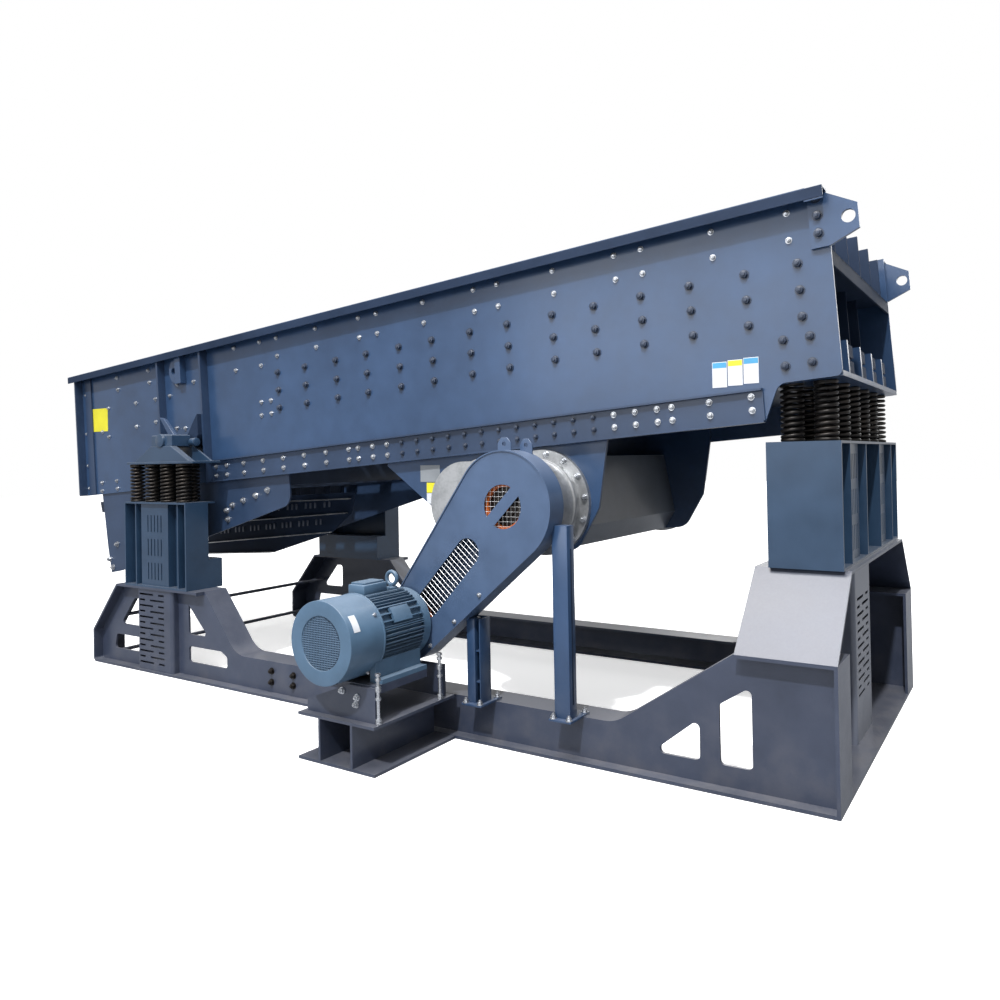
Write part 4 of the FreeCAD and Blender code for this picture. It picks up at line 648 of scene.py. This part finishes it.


# Top rail: its last length, up to the feed end's plane on both sides, as two strips of the same angle, and
# a dark sheet along the rail's whole outer lip, which is painted shade.
END_PLANE = 6.262
RAIL_STOP = 6.180
RAIL_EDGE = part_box("far_side_plate")[1][1] - 0.001
RAIL_LIP = RAIL_EDGE - 0.009
rail_ends = []
for side in (-1, 1):
    rail_ends.append(plate("rail_top", sloping(box_corners((RAIL_STOP, 0.999), (END_PLANE, 1.009))),
                           side * SIDE, side * RAIL_EDGE, 0.001))
    rail_ends.append(plate("rail_lip", sloping(box_corners((RAIL_STOP, 0.949), (END_PLANE, 1.008))),
                           side * RAIL_LIP, side * RAIL_EDGE, 0.001))
finish_piece(join("rail_ends", rail_ends), trough_paint, "trough")
# The lip sheets are painted shade.
lip_shade_outline = sloping(box_corners((0.062, 0.957), (END_PLANE, 1.006)))
lip_shade_sheets = [plate("facing", lip_shade_outline, side * RAIL_EDGE, side * (RAIL_EDGE + 0.0022), 0.0004)
           for side in (-1, 1)]
finish_piece(join("rail_lip_painted_shade", lip_shade_sheets), painted_shade_enamel, "trough")


# Feed end wall: a welded sheet stayed by upright ribs, with a cross angle along the end's plane and short
# flanged stubs on the spring seat, which catch the light. All of them take the dark enamel that is painted
# shade.
def upright(name, low, high, across, half, edge=0.001):
    """A rib between two corners along and up the trough, as thick as twice half."""
    return plate(name, sloping(box_corners(low, high)), across - half, across + half, edge)


WALL_RIBS = (-0.463, -0.154, 0.154, 0.463)
END_RIBS = (-0.617, -0.308, 0.0, 0.308, 0.617)
RIB_HALF = 0.006
wall_pieces = [upright("sheet", (6.002, 0.198), (6.016, 0.985), 0.0, PLATE_INSIDE - 0.002)]
for across in WALL_RIBS:
    wall_pieces.append(upright("rib", (6.014, 0.200), (6.136, 0.985), across, RIB_HALF))
back_wall = join("feed_end_wall", wall_pieces)
finish_piece(back_wall, painted_shade_enamel, "trough")
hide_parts("feed_back_wall")
end_pieces = [upright("angle", (6.014, 0.728), (END_PLANE, 0.740), 0.0, PLATE_INSIDE, 0.002),
              upright("angle_lip", (6.250, 0.668), (END_PLANE, 0.738), 0.0, PLATE_INSIDE, 0.002)]
for across in END_RIBS:
    end_pieces.append(upright("rib", (6.014, 0.738), (6.248, 0.975), across, RIB_HALF))
feed_end = join("feed_end_angle_and_ribs", end_pieces)
finish_piece(feed_end, painted_shade_enamel, "trough")
stubs = []
for across in END_RIBS[:4]:
    for foot, head in ((0.199, 0.262), (0.276, 0.340)):
        stubs.append(upright("stub", (6.180, foot), (6.252, head), across + 0.095, 0.075, 0.003))
seat_stubs = join("feed_seat_stubs", stubs)
finish_piece(seat_stubs, painted_shade_enamel, "trough")


# Chute stay: an upright sheet under the lower grizzly, welded to the cross beams. Flat galvanised
# strips whose edges show bright stiffen it, and two rows of small lugs stand on its near face.
def block(name, low, high, edge):
    """A square-cornered bar or plate between two corners, its edges broken."""
    settle()
    size = [b - a for a, b in zip(low, high)]
    middle = [(a + b) / 2 for a, b in zip(low, high)]
    bpy.ops.mesh.primitive_cube_add(size=1, location=middle, scale=size)
    piece = place_mesh(bpy.context.object)
    piece.name = name
    apply_modifier(piece, "BEVEL", width=edge, segments=2, limit_method="ANGLE")
    return piece


dull_zinc = metal("galvanised_steel", (0.50, 0.51, 0.52), 0.45, (0.30, 0.31, 0.32), grain=60)
STAY = [(-5.380, 0.700), (-4.507, 0.752), (-3.820, 0.940), (-3.600, 1.100), (-3.560, 1.260),
        (-5.370, 1.180)]
STAY_FACE = -0.003
STRIP_LINES = (((-5.380, 0.793), (-3.820, 0.940)), ((-5.375, 0.961), (-3.640, 1.096)),
               ((-5.370, 1.130), (-3.600, 1.206)), ((-5.380, 0.700), (-4.507, 0.752)))
STRIP_THICKNESS = 0.008
LUG_LINES = (((-5.2, 0.885), (-3.95, 1.000)), ((-5.2, 1.050), (-3.85, 1.140)))
LUG_PLACES = 26
# The stay's sheet takes the dark enamel that is painted shade.
stay_sheet = plate("chute_stay", STAY, -0.004, 0.004, 0.001)
finish_piece(stay_sheet, painted_shade_enamel, "trough")
strips = []
for (start, low), (end, high) in STRIP_LINES:
    outline = [(start, low), (end, high), (end, high + STRIP_THICKNESS), (start, low + STRIP_THICKNESS)]
    strips.append(plate("strip", outline, -0.045, STAY_FACE, 0.001))
stay_strips = join("chute_stay_strips", strips)
finish_piece(stay_strips, dull_zinc, "trough")
# The lugs take the feed post's lightened paint: painted light.
for row, (start, end) in enumerate(LUG_LINES):
    lugs = []
    for step in range(LUG_PLACES):
        share = step / (LUG_PLACES - 1)
        x = start[0] + share * (end[0] - start[0])
        z = start[1] + share * (end[1] - start[1])
        if step % 4 < 3:
            lugs.append(block("lug", (x, -0.009, z), (x + 0.020, STAY_FACE, z + 0.045), 0.001))
    lug_row = join("chute_stay_lugs_" + str(row + 1), lugs)
    finish_piece(lug_row, post_with_painted_light, "trough")


# Blank labels: plain coloured sheets stuck on the near side plate and the near hanging plate, with
# nothing printed on them.
def label(name, middle, half, finish, out=0.0015):
    """An upright sheet about its middle on a face, out to half its width and half its height."""
    x, y, z = middle
    outline = box_corners((x - half[0], z - half[1]), (x + half[0], z + half[1]))
    sheet = plate(name, outline, y - out, y + 0.0005, 0.0003)
    finish_piece(sheet, finish, "trough")


def label_sheet(name, colour, rough=0.45):
    return painted(name, colour, rough=rough, dust=0.0, grime=0.0, coat=0.1)


label_white = label_sheet("label_white", (0.56, 0.58, 0.61))
label_yellow = label_sheet("label_yellow", (0.66, 0.60, 0.020))
label_blue = label_sheet("label_blue", (0.05, 0.28, 0.50))
label_grey = label_sheet("label_grey", (0.24, 0.26, 0.28), 0.40)
LABEL_SPACING = 0.0765
BAND_RISE = 0.045
label("bay_label", on_trough(0.390, -SIDE, 0.615), (0.112, 0.095), label_yellow)
for number, colour in enumerate((label_blue, label_yellow, label_blue)):
    x, y, z = on_trough(5.705 + LABEL_SPACING * number, -SIDE, 0.250)
    label("side_label_" + str(number + 1), (x, y, z), (0.036, 0.061), label_white)
    label("side_label_top_" + str(number + 1), (x, y - 0.0012, z + BAND_RISE), (0.034, 0.013), colour,
          0.0006)
HANGING_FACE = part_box("near_hanging_plate")[0][1]
label("plate_label_grey", (-2.166, HANGING_FACE, 1.416), (0.075, 0.050), label_grey)
label("plate_label_yellow", (-2.134, HANGING_FACE, 1.3315), (0.060, 0.0295), label_yellow)
label("plate_label_white", (-2.134, HANGING_FACE, 1.267), (0.060, 0.031), label_white)


# Exciter covers: cast end covers with turned rims, a ring of small cover screws, and bolts round the
# double flange. The far side has a plainer cover over the same two bores.
def middle_of(node):
    """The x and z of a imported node's middle."""
    low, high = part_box(node)
    return (low[0] + high[0]) / 2, (low[2] + high[2]) / 2


def on_disc(name, centre, start, end, radius, sides, edge=0.0):
    """A disc or bar that lies along y, from start to end, about a centre in x and z."""
    return rod(name, (centre[0], start, centre[1]), (centre[0], end, centre[1]), radius, sides, edge)


def round_about(centre, radius, turn):
    """The x and z of a point at an angle round a centre."""
    return centre[0] + radius * math.cos(turn), centre[1] + radius * math.sin(turn)


EXCITER = middle_of("exciter_pulley")
SECOND_LOBE = (EXCITER[0] - 0.380, EXCITER[1])
COVER_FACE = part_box("exciter_end_cover")[0][1]
FLANGE_FACE = 0.797
tube_paint = painted("exciter_tube_paint", (0.13, 0.15, 0.18), rough=0.38)
dress(("exciter_cross_tube",), tube_paint)
dress(("exciter_end_cover",), dull_zinc)
ring = []
for centre, radius, other, clear in ((EXCITER, 0.263, SECOND_LOBE, 0.240),
                                     (SECOND_LOBE, 0.228, EXCITER, 0.262)):
    for step in range(14):
        x, z = round_about(centre, radius, math.tau * step / 14 + 0.12)
        if math.hypot(x - other[0], z - other[1]) > clear:
            ring.append(facing((x, -FLANGE_FACE, z), (0, -1, 0), step))
flange_bolts = copies("exciter_flange_bolts", bolt(0.027, 0.008), ring)
finish_piece(flange_bolts, bright_zinc, "trough")
step_ring = on_disc("step_ring", EXCITER, COVER_FACE - 0.012, COVER_FACE + 0.002, 0.178, 56, 0.004)
rim = on_disc("rim", EXCITER, -0.860, -0.838, 0.242, 64, 0.006)
cover_rims = join("exciter_cover_rims", [step_ring, rim])
finish_piece(cover_rims, dull_zinc, "trough")
screw_places = []
for step in range(12):
    x, z = round_about(EXCITER, 0.204, math.tau * step / 12)
    screw_places.append(facing((x, COVER_FACE, z), (0, -1, 0), step))
cover_screws = copies("exciter_cover_screws", bolt(0.019, 0.002), screw_places)
finish_piece(cover_screws, bright_zinc, "trough")
far_cover = join("exciter_far_cover", [
    on_disc("far_flange", EXCITER, PLATE_INSIDE, FLANGE_FACE, 0.286, 64, 0.004),
    on_disc("far_lobe", SECOND_LOBE, PLATE_INSIDE, FLANGE_FACE, 0.250, 56, 0.004),
    on_disc("far_cap", EXCITER, 0.795, 0.900, 0.200, 56, 0.012),
    on_disc("far_second_cap", SECOND_LOBE, 0.795, 0.860, 0.170, 56, 0.012)])
finish_piece(far_cover, dull_zinc, "trough")


# Pulleys: orange cast V-belt pulleys with grooved rims. The exciter's has a recessed web with a bush
# and its bolts; the motor's sits on the shaft that comes out of the motor.
def pick(piece, test):
    """Edit mode, with the faces selected whose middle and normal pass the test."""
    only(piece)
    bpy.ops.object.mode_set(mode="EDIT")
    bpy.ops.mesh.select_mode(type="FACE")
    bpy.ops.mesh.select_all(action="DESELECT")
    bpy.ops.object.mode_set(mode="OBJECT")
    for face in piece.data.polygons:
        face.select = test(face.center, face.normal)
    bpy.ops.object.mode_set(mode="EDIT")


def drop(piece, test):
    """Deletes the faces whose middle and normal pass the test."""
    pick(piece, test)
    bpy.ops.mesh.delete(type="FACE")
    bpy.ops.object.mode_set(mode="OBJECT")


MOTOR = middle_of("motor_pulley")
PULLEY_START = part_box("exciter_pulley")[0][1]
PULLEY_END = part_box("motor_pulley")[1][1]
SHAFT_RADIUS = 0.026
GROOVES = 4
GROOVE_DEPTH = 0.012
WEB_RECESS = 0.022
FLANGE_INSET = 0.004
FLANGE_HALF = 0.003
FLANGE_DEPTH = 0.018


def pulley(name, node, rim, shaft_end):
    """A grooved pulley in a node's place: core, flanges between the grooves, hub and shaft."""
    low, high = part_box(node)
    radius = (high[0] - low[0]) / 2
    centre = middle_of(node)
    core = on_disc("core", centre, PULLEY_START, PULLEY_END, radius - GROOVE_DEPTH, 64)
    pick(core, lambda middle, normal: normal.y < -0.9)
    bpy.ops.mesh.inset(thickness=rim, depth=0)
    bpy.ops.mesh.extrude_region_move(TRANSFORM_OT_translate={"value": (0, WEB_RECESS, 0)})
    bpy.ops.object.mode_set(mode="OBJECT")
    pieces = [core]
    spread = PULLEY_END - PULLEY_START - 2 * FLANGE_INSET
    for number in range(GROOVES + 1):
        y = PULLEY_START + FLANGE_INSET + spread * number / GROOVES
        flange = on_disc("flange", centre, y - FLANGE_HALF, y + FLANGE_HALF, radius, 64)
        drop(flange, lambda middle, normal: abs(normal.y) > 0.9)
        apply_modifier(flange, "SOLIDIFY", thickness=FLANGE_DEPTH, offset=-1)
        pieces.append(flange)
    pieces.append(on_disc("hub", centre, PULLEY_START + 0.002, PULLEY_START + 0.040,
                          SHAFT_RADIUS * 1.9, 32, 0.003))
    pieces.append(on_disc("shaft", centre, PULLEY_START - 0.0005, shaft_end, SHAFT_RADIUS, 28, 0.002))
    return join(name, pieces)


orange = painted("pulley_enamel", (0.52, 0.115, 0.018), rough=0.38, dust=0.05, grime=0.0)
big = pulley("exciter_belt_pulley", "exciter_pulley", 0.062, -0.895)
WEB_FACE = PULLEY_START + 0.018
BUSH_FACE = PULLEY_START + 0.0015
web = on_disc("web", EXCITER, WEB_FACE, WEB_FACE + 0.005, 0.1005, 56, 0.001)
bush = on_disc("bush", EXCITER, BUSH_FACE, BUSH_FACE + 0.021, 0.060, 40, 0.003)
bush_places = []
for third in (0, 1, -1):
    x, z = round_about(EXCITER, 0.042, 0.4 + third * math.tau / 3)
    bush_places.append(facing((x, BUSH_FACE, z), (0, -1, 0)))
bush_bolts = copies("bush_bolts", bolt(0.010, 0.0005), bush_places)
pulley_web = join("exciter_pulley_web", [web, bush, bush_bolts])
finish_piece(pulley_web, black_steel, "exciter_rotor")
finish_piece(big, orange, "exciter_rotor")
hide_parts("exciter_pulley")
small = pulley("motor_belt_pulley", "motor_pulley", 0.020, PULLEY_END - 0.001)
snout = on_disc("snout", MOTOR, -1.232, PULLEY_START + 0.03, SHAFT_RADIUS, 28, 0.002)
small = join("motor_belt_pulley", [small, snout])
finish_piece(small, orange, "motor_rotor")
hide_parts("motor_pulley")


# Drive belt: four V-belts side by side, black rubber with dull flanks, running from the motor's
# pulley up to the exciter's.
def strap(name, centres, radii, start, end, wall):
    """A band pulled tight round two discs."""
    band = join(name, [on_disc("disc", centre, start, end, radius, 72)
                       for centre, radius in zip(centres, radii)])
    only(band)
    bpy.ops.object.mode_set(mode="EDIT")
    bpy.ops.mesh.select_all(action="SELECT")
    bpy.ops.mesh.convex_hull()
    bpy.ops.object.mode_set(mode="OBJECT")
    drop(band, lambda middle, normal: abs(normal.y) > 0.9)
    apply_modifier(band, "SOLIDIFY", thickness=wall, offset=-1, use_even_offset=True)
    return band


belt_rubber = painted("belt_rubber", (0.016, 0.016, 0.017), rough=0.62, dust=0.0, grime=0.0, coat=0.0)
BELT_START = -1.154
BELT_SPACING = 0.0187
BELT_WIDTH = 0.0165
BELT_DEPTH = 0.011
BELT_RADII = (0.187, 0.110)
strands = []
for number in range(GROOVES):
    y = BELT_START + BELT_SPACING * number
    strands.append(strap("strand", (EXCITER, MOTOR), BELT_RADII, y, y + BELT_WIDTH, BELT_DEPTH))
belt = join("v_belts", strands)
finish_piece(belt, belt_rubber, None)
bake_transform(belt)
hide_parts("drive_belt")


# Belt guard: folded sheet. Woven wire closes its round window and its slot; a rolled edge runs round
# the front, two eyes stand on top, and small bolts hold the cover along its lower side.
GUARD_LOW = (-1.984, 0.595)
GUARD_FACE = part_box("belt_guard")[0][1]
MESH_PLANE = -1.1755
MESH_PITCH = 0.025
WINDOW_REACH = 0.126
SLOT_START = 0.36
SLOT_END = 0.80
SLOT_REACH = 0.086


def wire_mesh(name, middle, turn, size, pitch, wire, keep):
    """A square of woven wire: a turned grid, cut to what keep allows."""
    settle()
    bpy.ops.mesh.primitive_grid_add(x_subdivisions=round(size / pitch), y_subdivisions=round(size / pitch),
                                    size=1)
    sheet = bpy.context.object
    turned = Matrix.Rotation(turn, 4, "Y") @ Matrix.Rotation(math.pi / 2, 4, "X")
    sheet.matrix_world = Matrix.Translation(middle) @ turned @ Matrix.Diagonal((size, size, 1, 1))
    place_mesh(sheet)
    drop(sheet, lambda middle, normal: not keep(middle.x, middle.z))
    apply_modifier(sheet, "WIREFRAME", thickness=wire, use_replace=True, use_even_offset=True)
    sheet.name = name
    return sheet


def in_window(x, z):
    return math.hypot(x - EXCITER[0], z - EXCITER[1]) < WINDOW_REACH


def in_slot(x, z):
    """Near the slot's middle line, which follows the line between the guard's two centres."""
    run = (GUARD_LOW[0] - EXCITER[0], GUARD_LOW[1] - EXCITER[1])
    share = ((x - EXCITER[0]) * run[0] + (z - EXCITER[1]) * run[1]) / (run[0] ** 2 + run[1] ** 2)
    share = min(max(share, SLOT_START), SLOT_END)
    return math.hypot(x - EXCITER[0] - share * run[0], z - EXCITER[1] - share * run[1]) < SLOT_REACH


guard_paint = painted("guard_paint", (0.050, 0.086, 0.160))
dress(("belt_guard",), guard_paint)
round_mesh = wire_mesh("round_mesh", (EXCITER[0], MESH_PLANE, EXCITER[1]), 0.0, 0.25, MESH_PITCH,
                       0.0022, in_window)
slot_mesh = wire_mesh("slot_mesh", (-1.723, MESH_PLANE, 0.872), math.radians(40), 0.75, MESH_PITCH,
                      0.0020, in_slot)
guard_mesh = join("guard_wire_mesh", [round_mesh, slot_mesh])
finish_piece(guard_mesh, dull_zinc, "base")
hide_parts("belt_guard_mesh")

guard_trim = [strap("edge_band", (EXCITER, GUARD_LOW), (0.285, 0.178), GUARD_FACE - 0.0055,
                    GUARD_FACE + 0.0005, 0.006)]
for low_x, high_x, top, face in ((-1.415, -1.334, 1.604, -1.135), (-1.322, -1.248, 1.596, -1.070)):
    shoulder = top - 0.028
    eye_x = (low_x + high_x) / 2
    eye_z = top - 0.032
    ear = plate("ear", [(low_x, 1.500), (high_x, 1.500), (high_x, shoulder), (high_x - 0.022, top),
                        (low_x + 0.022, top), (low_x, shoulder)], face, face + 0.008, 0.0015)
    drill(ear, (eye_x, face - 0.03, eye_z), (eye_x, face + 0.03, eye_z), 0.012)
    guard_trim.append(ear)
edge_and_eyes = join("guard_edge_and_eyes", guard_trim)
finish_piece(edge_and_eyes, guard_paint, "base")


def on_face(spots, y):
    """Places for fasteners that face the near side."""
    return [facing((x, y, z), (0, -1, 0), number) for number, (x, z) in enumerate(spots)]


guard_spots = [(-1.514, 0.802), (-1.679, 0.650), (-1.843, 0.509)]
guard_bolts = copies("guard_cover_bolts", bolt(0.017, 0.002), on_face(guard_spots, GUARD_FACE))
finish_piece(guard_bolts, bright_zinc, "base")


# Guard legs: the long one a closed box with a slot down its side, drawn as a thin dark strip of painted
# shade; the short one an open channel with rungs, both welded to foot plates that are bolted to the frame's
# flange.
LEG_FOOT = 0.215
LEG_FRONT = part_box("belt_guard_legs")[0][1]
SHORT_TOP = 0.664
FOOT_TOP = 0.225
leg_pieces = [block("tube", (-1.110, LEG_FRONT, LEG_FOOT), (-1.022, -1.055, 1.165), 0.004),
              block("front", (-1.642, LEG_FRONT, LEG_FOOT), (-1.590, -1.065, SHORT_TOP), 0.003),
              block("web", (-1.642, -1.038, LEG_FOOT), (-1.556, -1.032, SHORT_TOP), 0.001),
              block("side", (-1.642, -1.070, LEG_FOOT), (-1.636, -1.034, SHORT_TOP), 0.001),
              block("flange", (-1.562, LEG_FRONT, LEG_FOOT), (-1.556, -1.034, SHORT_TOP), 0.001)]
for z in (0.330, 0.490):
    leg_pieces.append(block("rung", (-1.594, -1.115, z), (-1.558, -1.036, z + 0.008), 0.001))
foot_places = []
for low_x, high_x in ((-1.128, -1.004), (-1.662, -1.536)):
    leg_pieces.append(block("foot", (low_x, -1.152, 0.213), (high_x, -0.960, FOOT_TOP), 0.002))
    for x, y in ((low_x + 0.018, -1.137), (high_x - 0.018, -1.137), (high_x - 0.018, -0.980)):
        foot_places.append(facing((x, y, FOOT_TOP), (0, 0, 1), len(foot_places)))
legs = join("guard_leg_set", leg_pieces)
finish_piece(legs, trough_paint, "base")
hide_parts("belt_guard_legs")
# The slot is a thin dark strip: painted shade.
slot_shade_strip = block("guard_leg_painted_shade_slot", (-1.0228, -1.098, 0.290), (-1.0212, -1.084, 1.050), 0.0004)
finish_piece(slot_shade_strip, painted_shade_enamel, "base")
foot_bolts = copies("guard_foot_bolts", bolt(0.024, 0.010), foot_places)
finish_piece(foot_bolts, bright_zinc, "base")


# Motor: finned cast body. Its fan cowl is a deep pressed cup with a perforated round grille, and the
# junction box, the lifting eye, the blank rating plate and the cowl's screws stand on the outside.
low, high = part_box("motor_fan_cowl")
COWL_START = low[1]
COWL_END = -1.560
COWL_RADIUS = (high[0] - low[0]) / 2
GRILLE_PLANE = COWL_START + 0.004
GRILLE_RADIUS = 0.128
GRILLE_PITCH = 0.0108
GRILLE_BAR = 0.0042
motor_paint = painted("motor_paint", (0.065, 0.125, 0.200), rough=0.40, peel=0.12, coat=0.1)
dress(("motor_housing",), motor_paint)
cowl = on_disc("cowl", MOTOR, COWL_START, COWL_END, COWL_RADIUS, 72)
drop(cowl, lambda middle, normal: normal.y > 0.9)
pick(cowl, lambda middle, normal: normal.y < -0.9)
bpy.ops.mesh.inset(thickness=0.074, depth=0)
bpy.ops.mesh.extrude_region_move(TRANSFORM_OT_translate={"value": (0, 0.006, 0)})
bpy.ops.object.mode_set(mode="OBJECT")
apply_modifier(cowl, "BEVEL", width=0.018, segments=5, limit_method="ANGLE", angle_limit=math.radians(60))
apply_modifier(cowl, "SOLIDIFY", thickness=0.003, offset=-1)
rim_band = on_disc("rim_band", MOTOR, -1.572, COWL_END, 0.2075, 72, 0.002)
cowl_shell = join("motor_cowl", [cowl, rim_band])
finish_piece(cowl_shell, motor_paint, "base", 30)
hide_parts("motor_fan_cowl")
grille = wire_mesh("motor_cowl_grille", (MOTOR[0], GRILLE_PLANE, MOTOR[1]), 0.0, 0.26, GRILLE_PITCH,
                   GRILLE_BAR, lambda x, z: math.hypot(x - MOTOR[0], z - MOTOR[1]) < GRILLE_RADIUS)
finish_piece(grille, motor_paint, "base")
cowl_back = on_disc("motor_cowl_back", MOTOR, GRILLE_PLANE + 0.0015, GRILLE_PLANE + 0.0035, 0.130, 48,
                    0.0005)
finish_piece(cowl_back, under_paint, "base")

LID_EDGE = 0.008
lid = block("lid", (-2.100, -1.520, 0.806), (-1.985, -1.350, 0.866), LID_EDGE)
pick(lid, lambda middle, normal: normal.z > 0.9)
bpy.ops.mesh.inset(thickness=LID_EDGE, depth=0)
bpy.ops.mesh.extrude_region_move(TRANSFORM_OT_translate={"value": (0, 0, LID_EDGE)})
bpy.ops.object.mode_set(mode="OBJECT")
gland = rod("gland", (-2.098, -1.435, 0.836), (-2.103, -1.435, 0.836), 0.020, 18, 0.001)
junction_box = join("motor_junction_box", [lid, gland])
finish_piece(junction_box, motor_paint, "base")
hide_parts("motor_terminal_box")

EYE_PLACE = -1.290
settle()
bpy.ops.mesh.primitive_torus_add(major_radius=0.034, minor_radius=0.011, major_segments=32,
                                 minor_segments=12, location=(MOTOR[0], EYE_PLACE, 0.872),
                                 rotation=(math.pi / 2, 0, 0))
eye_ring = place_mesh(bpy.context.object)
shank = rod("shank", (MOTOR[0], EYE_PLACE, 0.812), (MOTOR[0], EYE_PLACE, 0.842), 0.014, 20)
collar = rod("collar", (MOTOR[0], EYE_PLACE, 0.817), (MOTOR[0], EYE_PLACE, 0.829), 0.030, 28, 0.002)
lifting_eye = join("motor_lifting_eye", [eye_ring, shank, collar])
finish_piece(lifting_eye, motor_paint, "base", 50)


PATCH_TURN = 30
PATCH_REACH = 12


def off_patch(middle, normal):
    turn = math.degrees(math.atan2(middle.z - MOTOR[1], middle.x - MOTOR[0]))
    return abs(normal.y) > 0.5 or abs(turn - PATCH_TURN) > PATCH_REACH


def round_motor(name, radius, start, end, thickness):
    """A curved patch high on the motor's barrel, on the side that faces the feed end."""
    drum = on_disc(name, MOTOR, start, end, radius, 180)
    drop(drum, off_patch)
    apply_modifier(drum, "SOLIDIFY", thickness=thickness, offset=-1)
    return drum


FIN_STEP = 6
fin = block("fin", (0.172, -1.556, -0.0012), (0.1945, -1.252, 0.0012), 0.0006)
fin_places = []
for turn in range(-28, 210, FIN_STEP):
    if abs(turn - PATCH_TURN) > 15:
        turned = Matrix.Rotation(-math.radians(turn), 4, "Y")
        fin_places.append(Matrix.Translation((MOTOR[0], 0, MOTOR[1])) @ turned)
fins = copies("motor_fine_fins", fin, fin_places)
finish_piece(fins, motor_paint, "base")
pad = round_motor("motor_side_pad", 0.196, -1.470, -1.340, 0.016)
finish_piece(pad, motor_paint, "base")
rating = round_motor("motor_blank_plate", 0.2062, -1.762, -1.722, 0.0014)
finish_piece(rating, label_white, "base")
cowl_screws = []
for turn in (35, 125, 215, 305):
    out = Vector((math.cos(math.radians(turn)), 0, math.sin(math.radians(turn))))
    spot = Vector((MOTOR[0], -1.600, MOTOR[1])) + out * COWL_RADIUS
    cowl_screws.append(facing(spot, out, turn))
cowl_screw_set = copies("motor_cowl_screws", bolt(0.014, 0.001), cowl_screws)
finish_piece(cowl_screw_set, bright_zinc, "base")


# Motor mount: threaded studs with nuts above and below the brackets set the belt's tension, and
# bolts hold the front bracket; all are zinc plated.
STUD_X = middle_of("motor_adjusting_screws")[0]
STUD_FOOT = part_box("motor_adjusting_screws")[0][2] + 0.0005
STUD_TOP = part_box("motor_adjusting_screws")[1][2] - 0.0005
NUT_FEET = (STUD_FOOT, 0.2505, 0.352, 0.392, 0.405, 0.444, 0.4675)
NUT_HEIGHT = 0.013
NUT_RADIUS = 0.026 * HEXAGON_CORNER
studs = []
for y in (-1.650, -1.190):
    studs.append(rod("stud", (STUD_X, y, STUD_FOOT), (STUD_X, y, STUD_TOP), 0.008, 20, 0.0015))
    for z in NUT_FEET:
        studs.append(rod("nut", (STUD_X, y, z), (STUD_X, y, z + NUT_HEIGHT), NUT_RADIUS, 6, 0.0015))
stud_set = join("motor_mount_studs", studs)
finish_piece(stud_set, bright_zinc, "base")
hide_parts("motor_adjusting_screws")
bracket_spots = [(-2.009, 0.369), (-1.907, 0.349), (-1.915, 0.314)]
bracket_bolts = copies("motor_bracket_bolts", bolt(0.024, 0.008), on_face(bracket_spots, -1.657))
finish_piece(bracket_bolts, bright_zinc, "base")


# Frame bolts: black hexagon bolts through both side frames' webs under the discharge half, four to a
# side, heads outwards.
BEAM_FACE = 1.020
beam_spots = [(-3.306, 0.153), (-3.308, 0.082), (-3.102, 0.149), (-3.104, 0.085)]
beam_places = [facing((x, side * BEAM_FACE, z), (0, side, 0), number)
               for side in (-1, 1) for number, (x, z) in enumerate(beam_spots)]
beam_bolts = copies("beam_bolts", bolt(0.030, 0.010), beam_places)
finish_piece(beam_bolts, black_steel, "base")
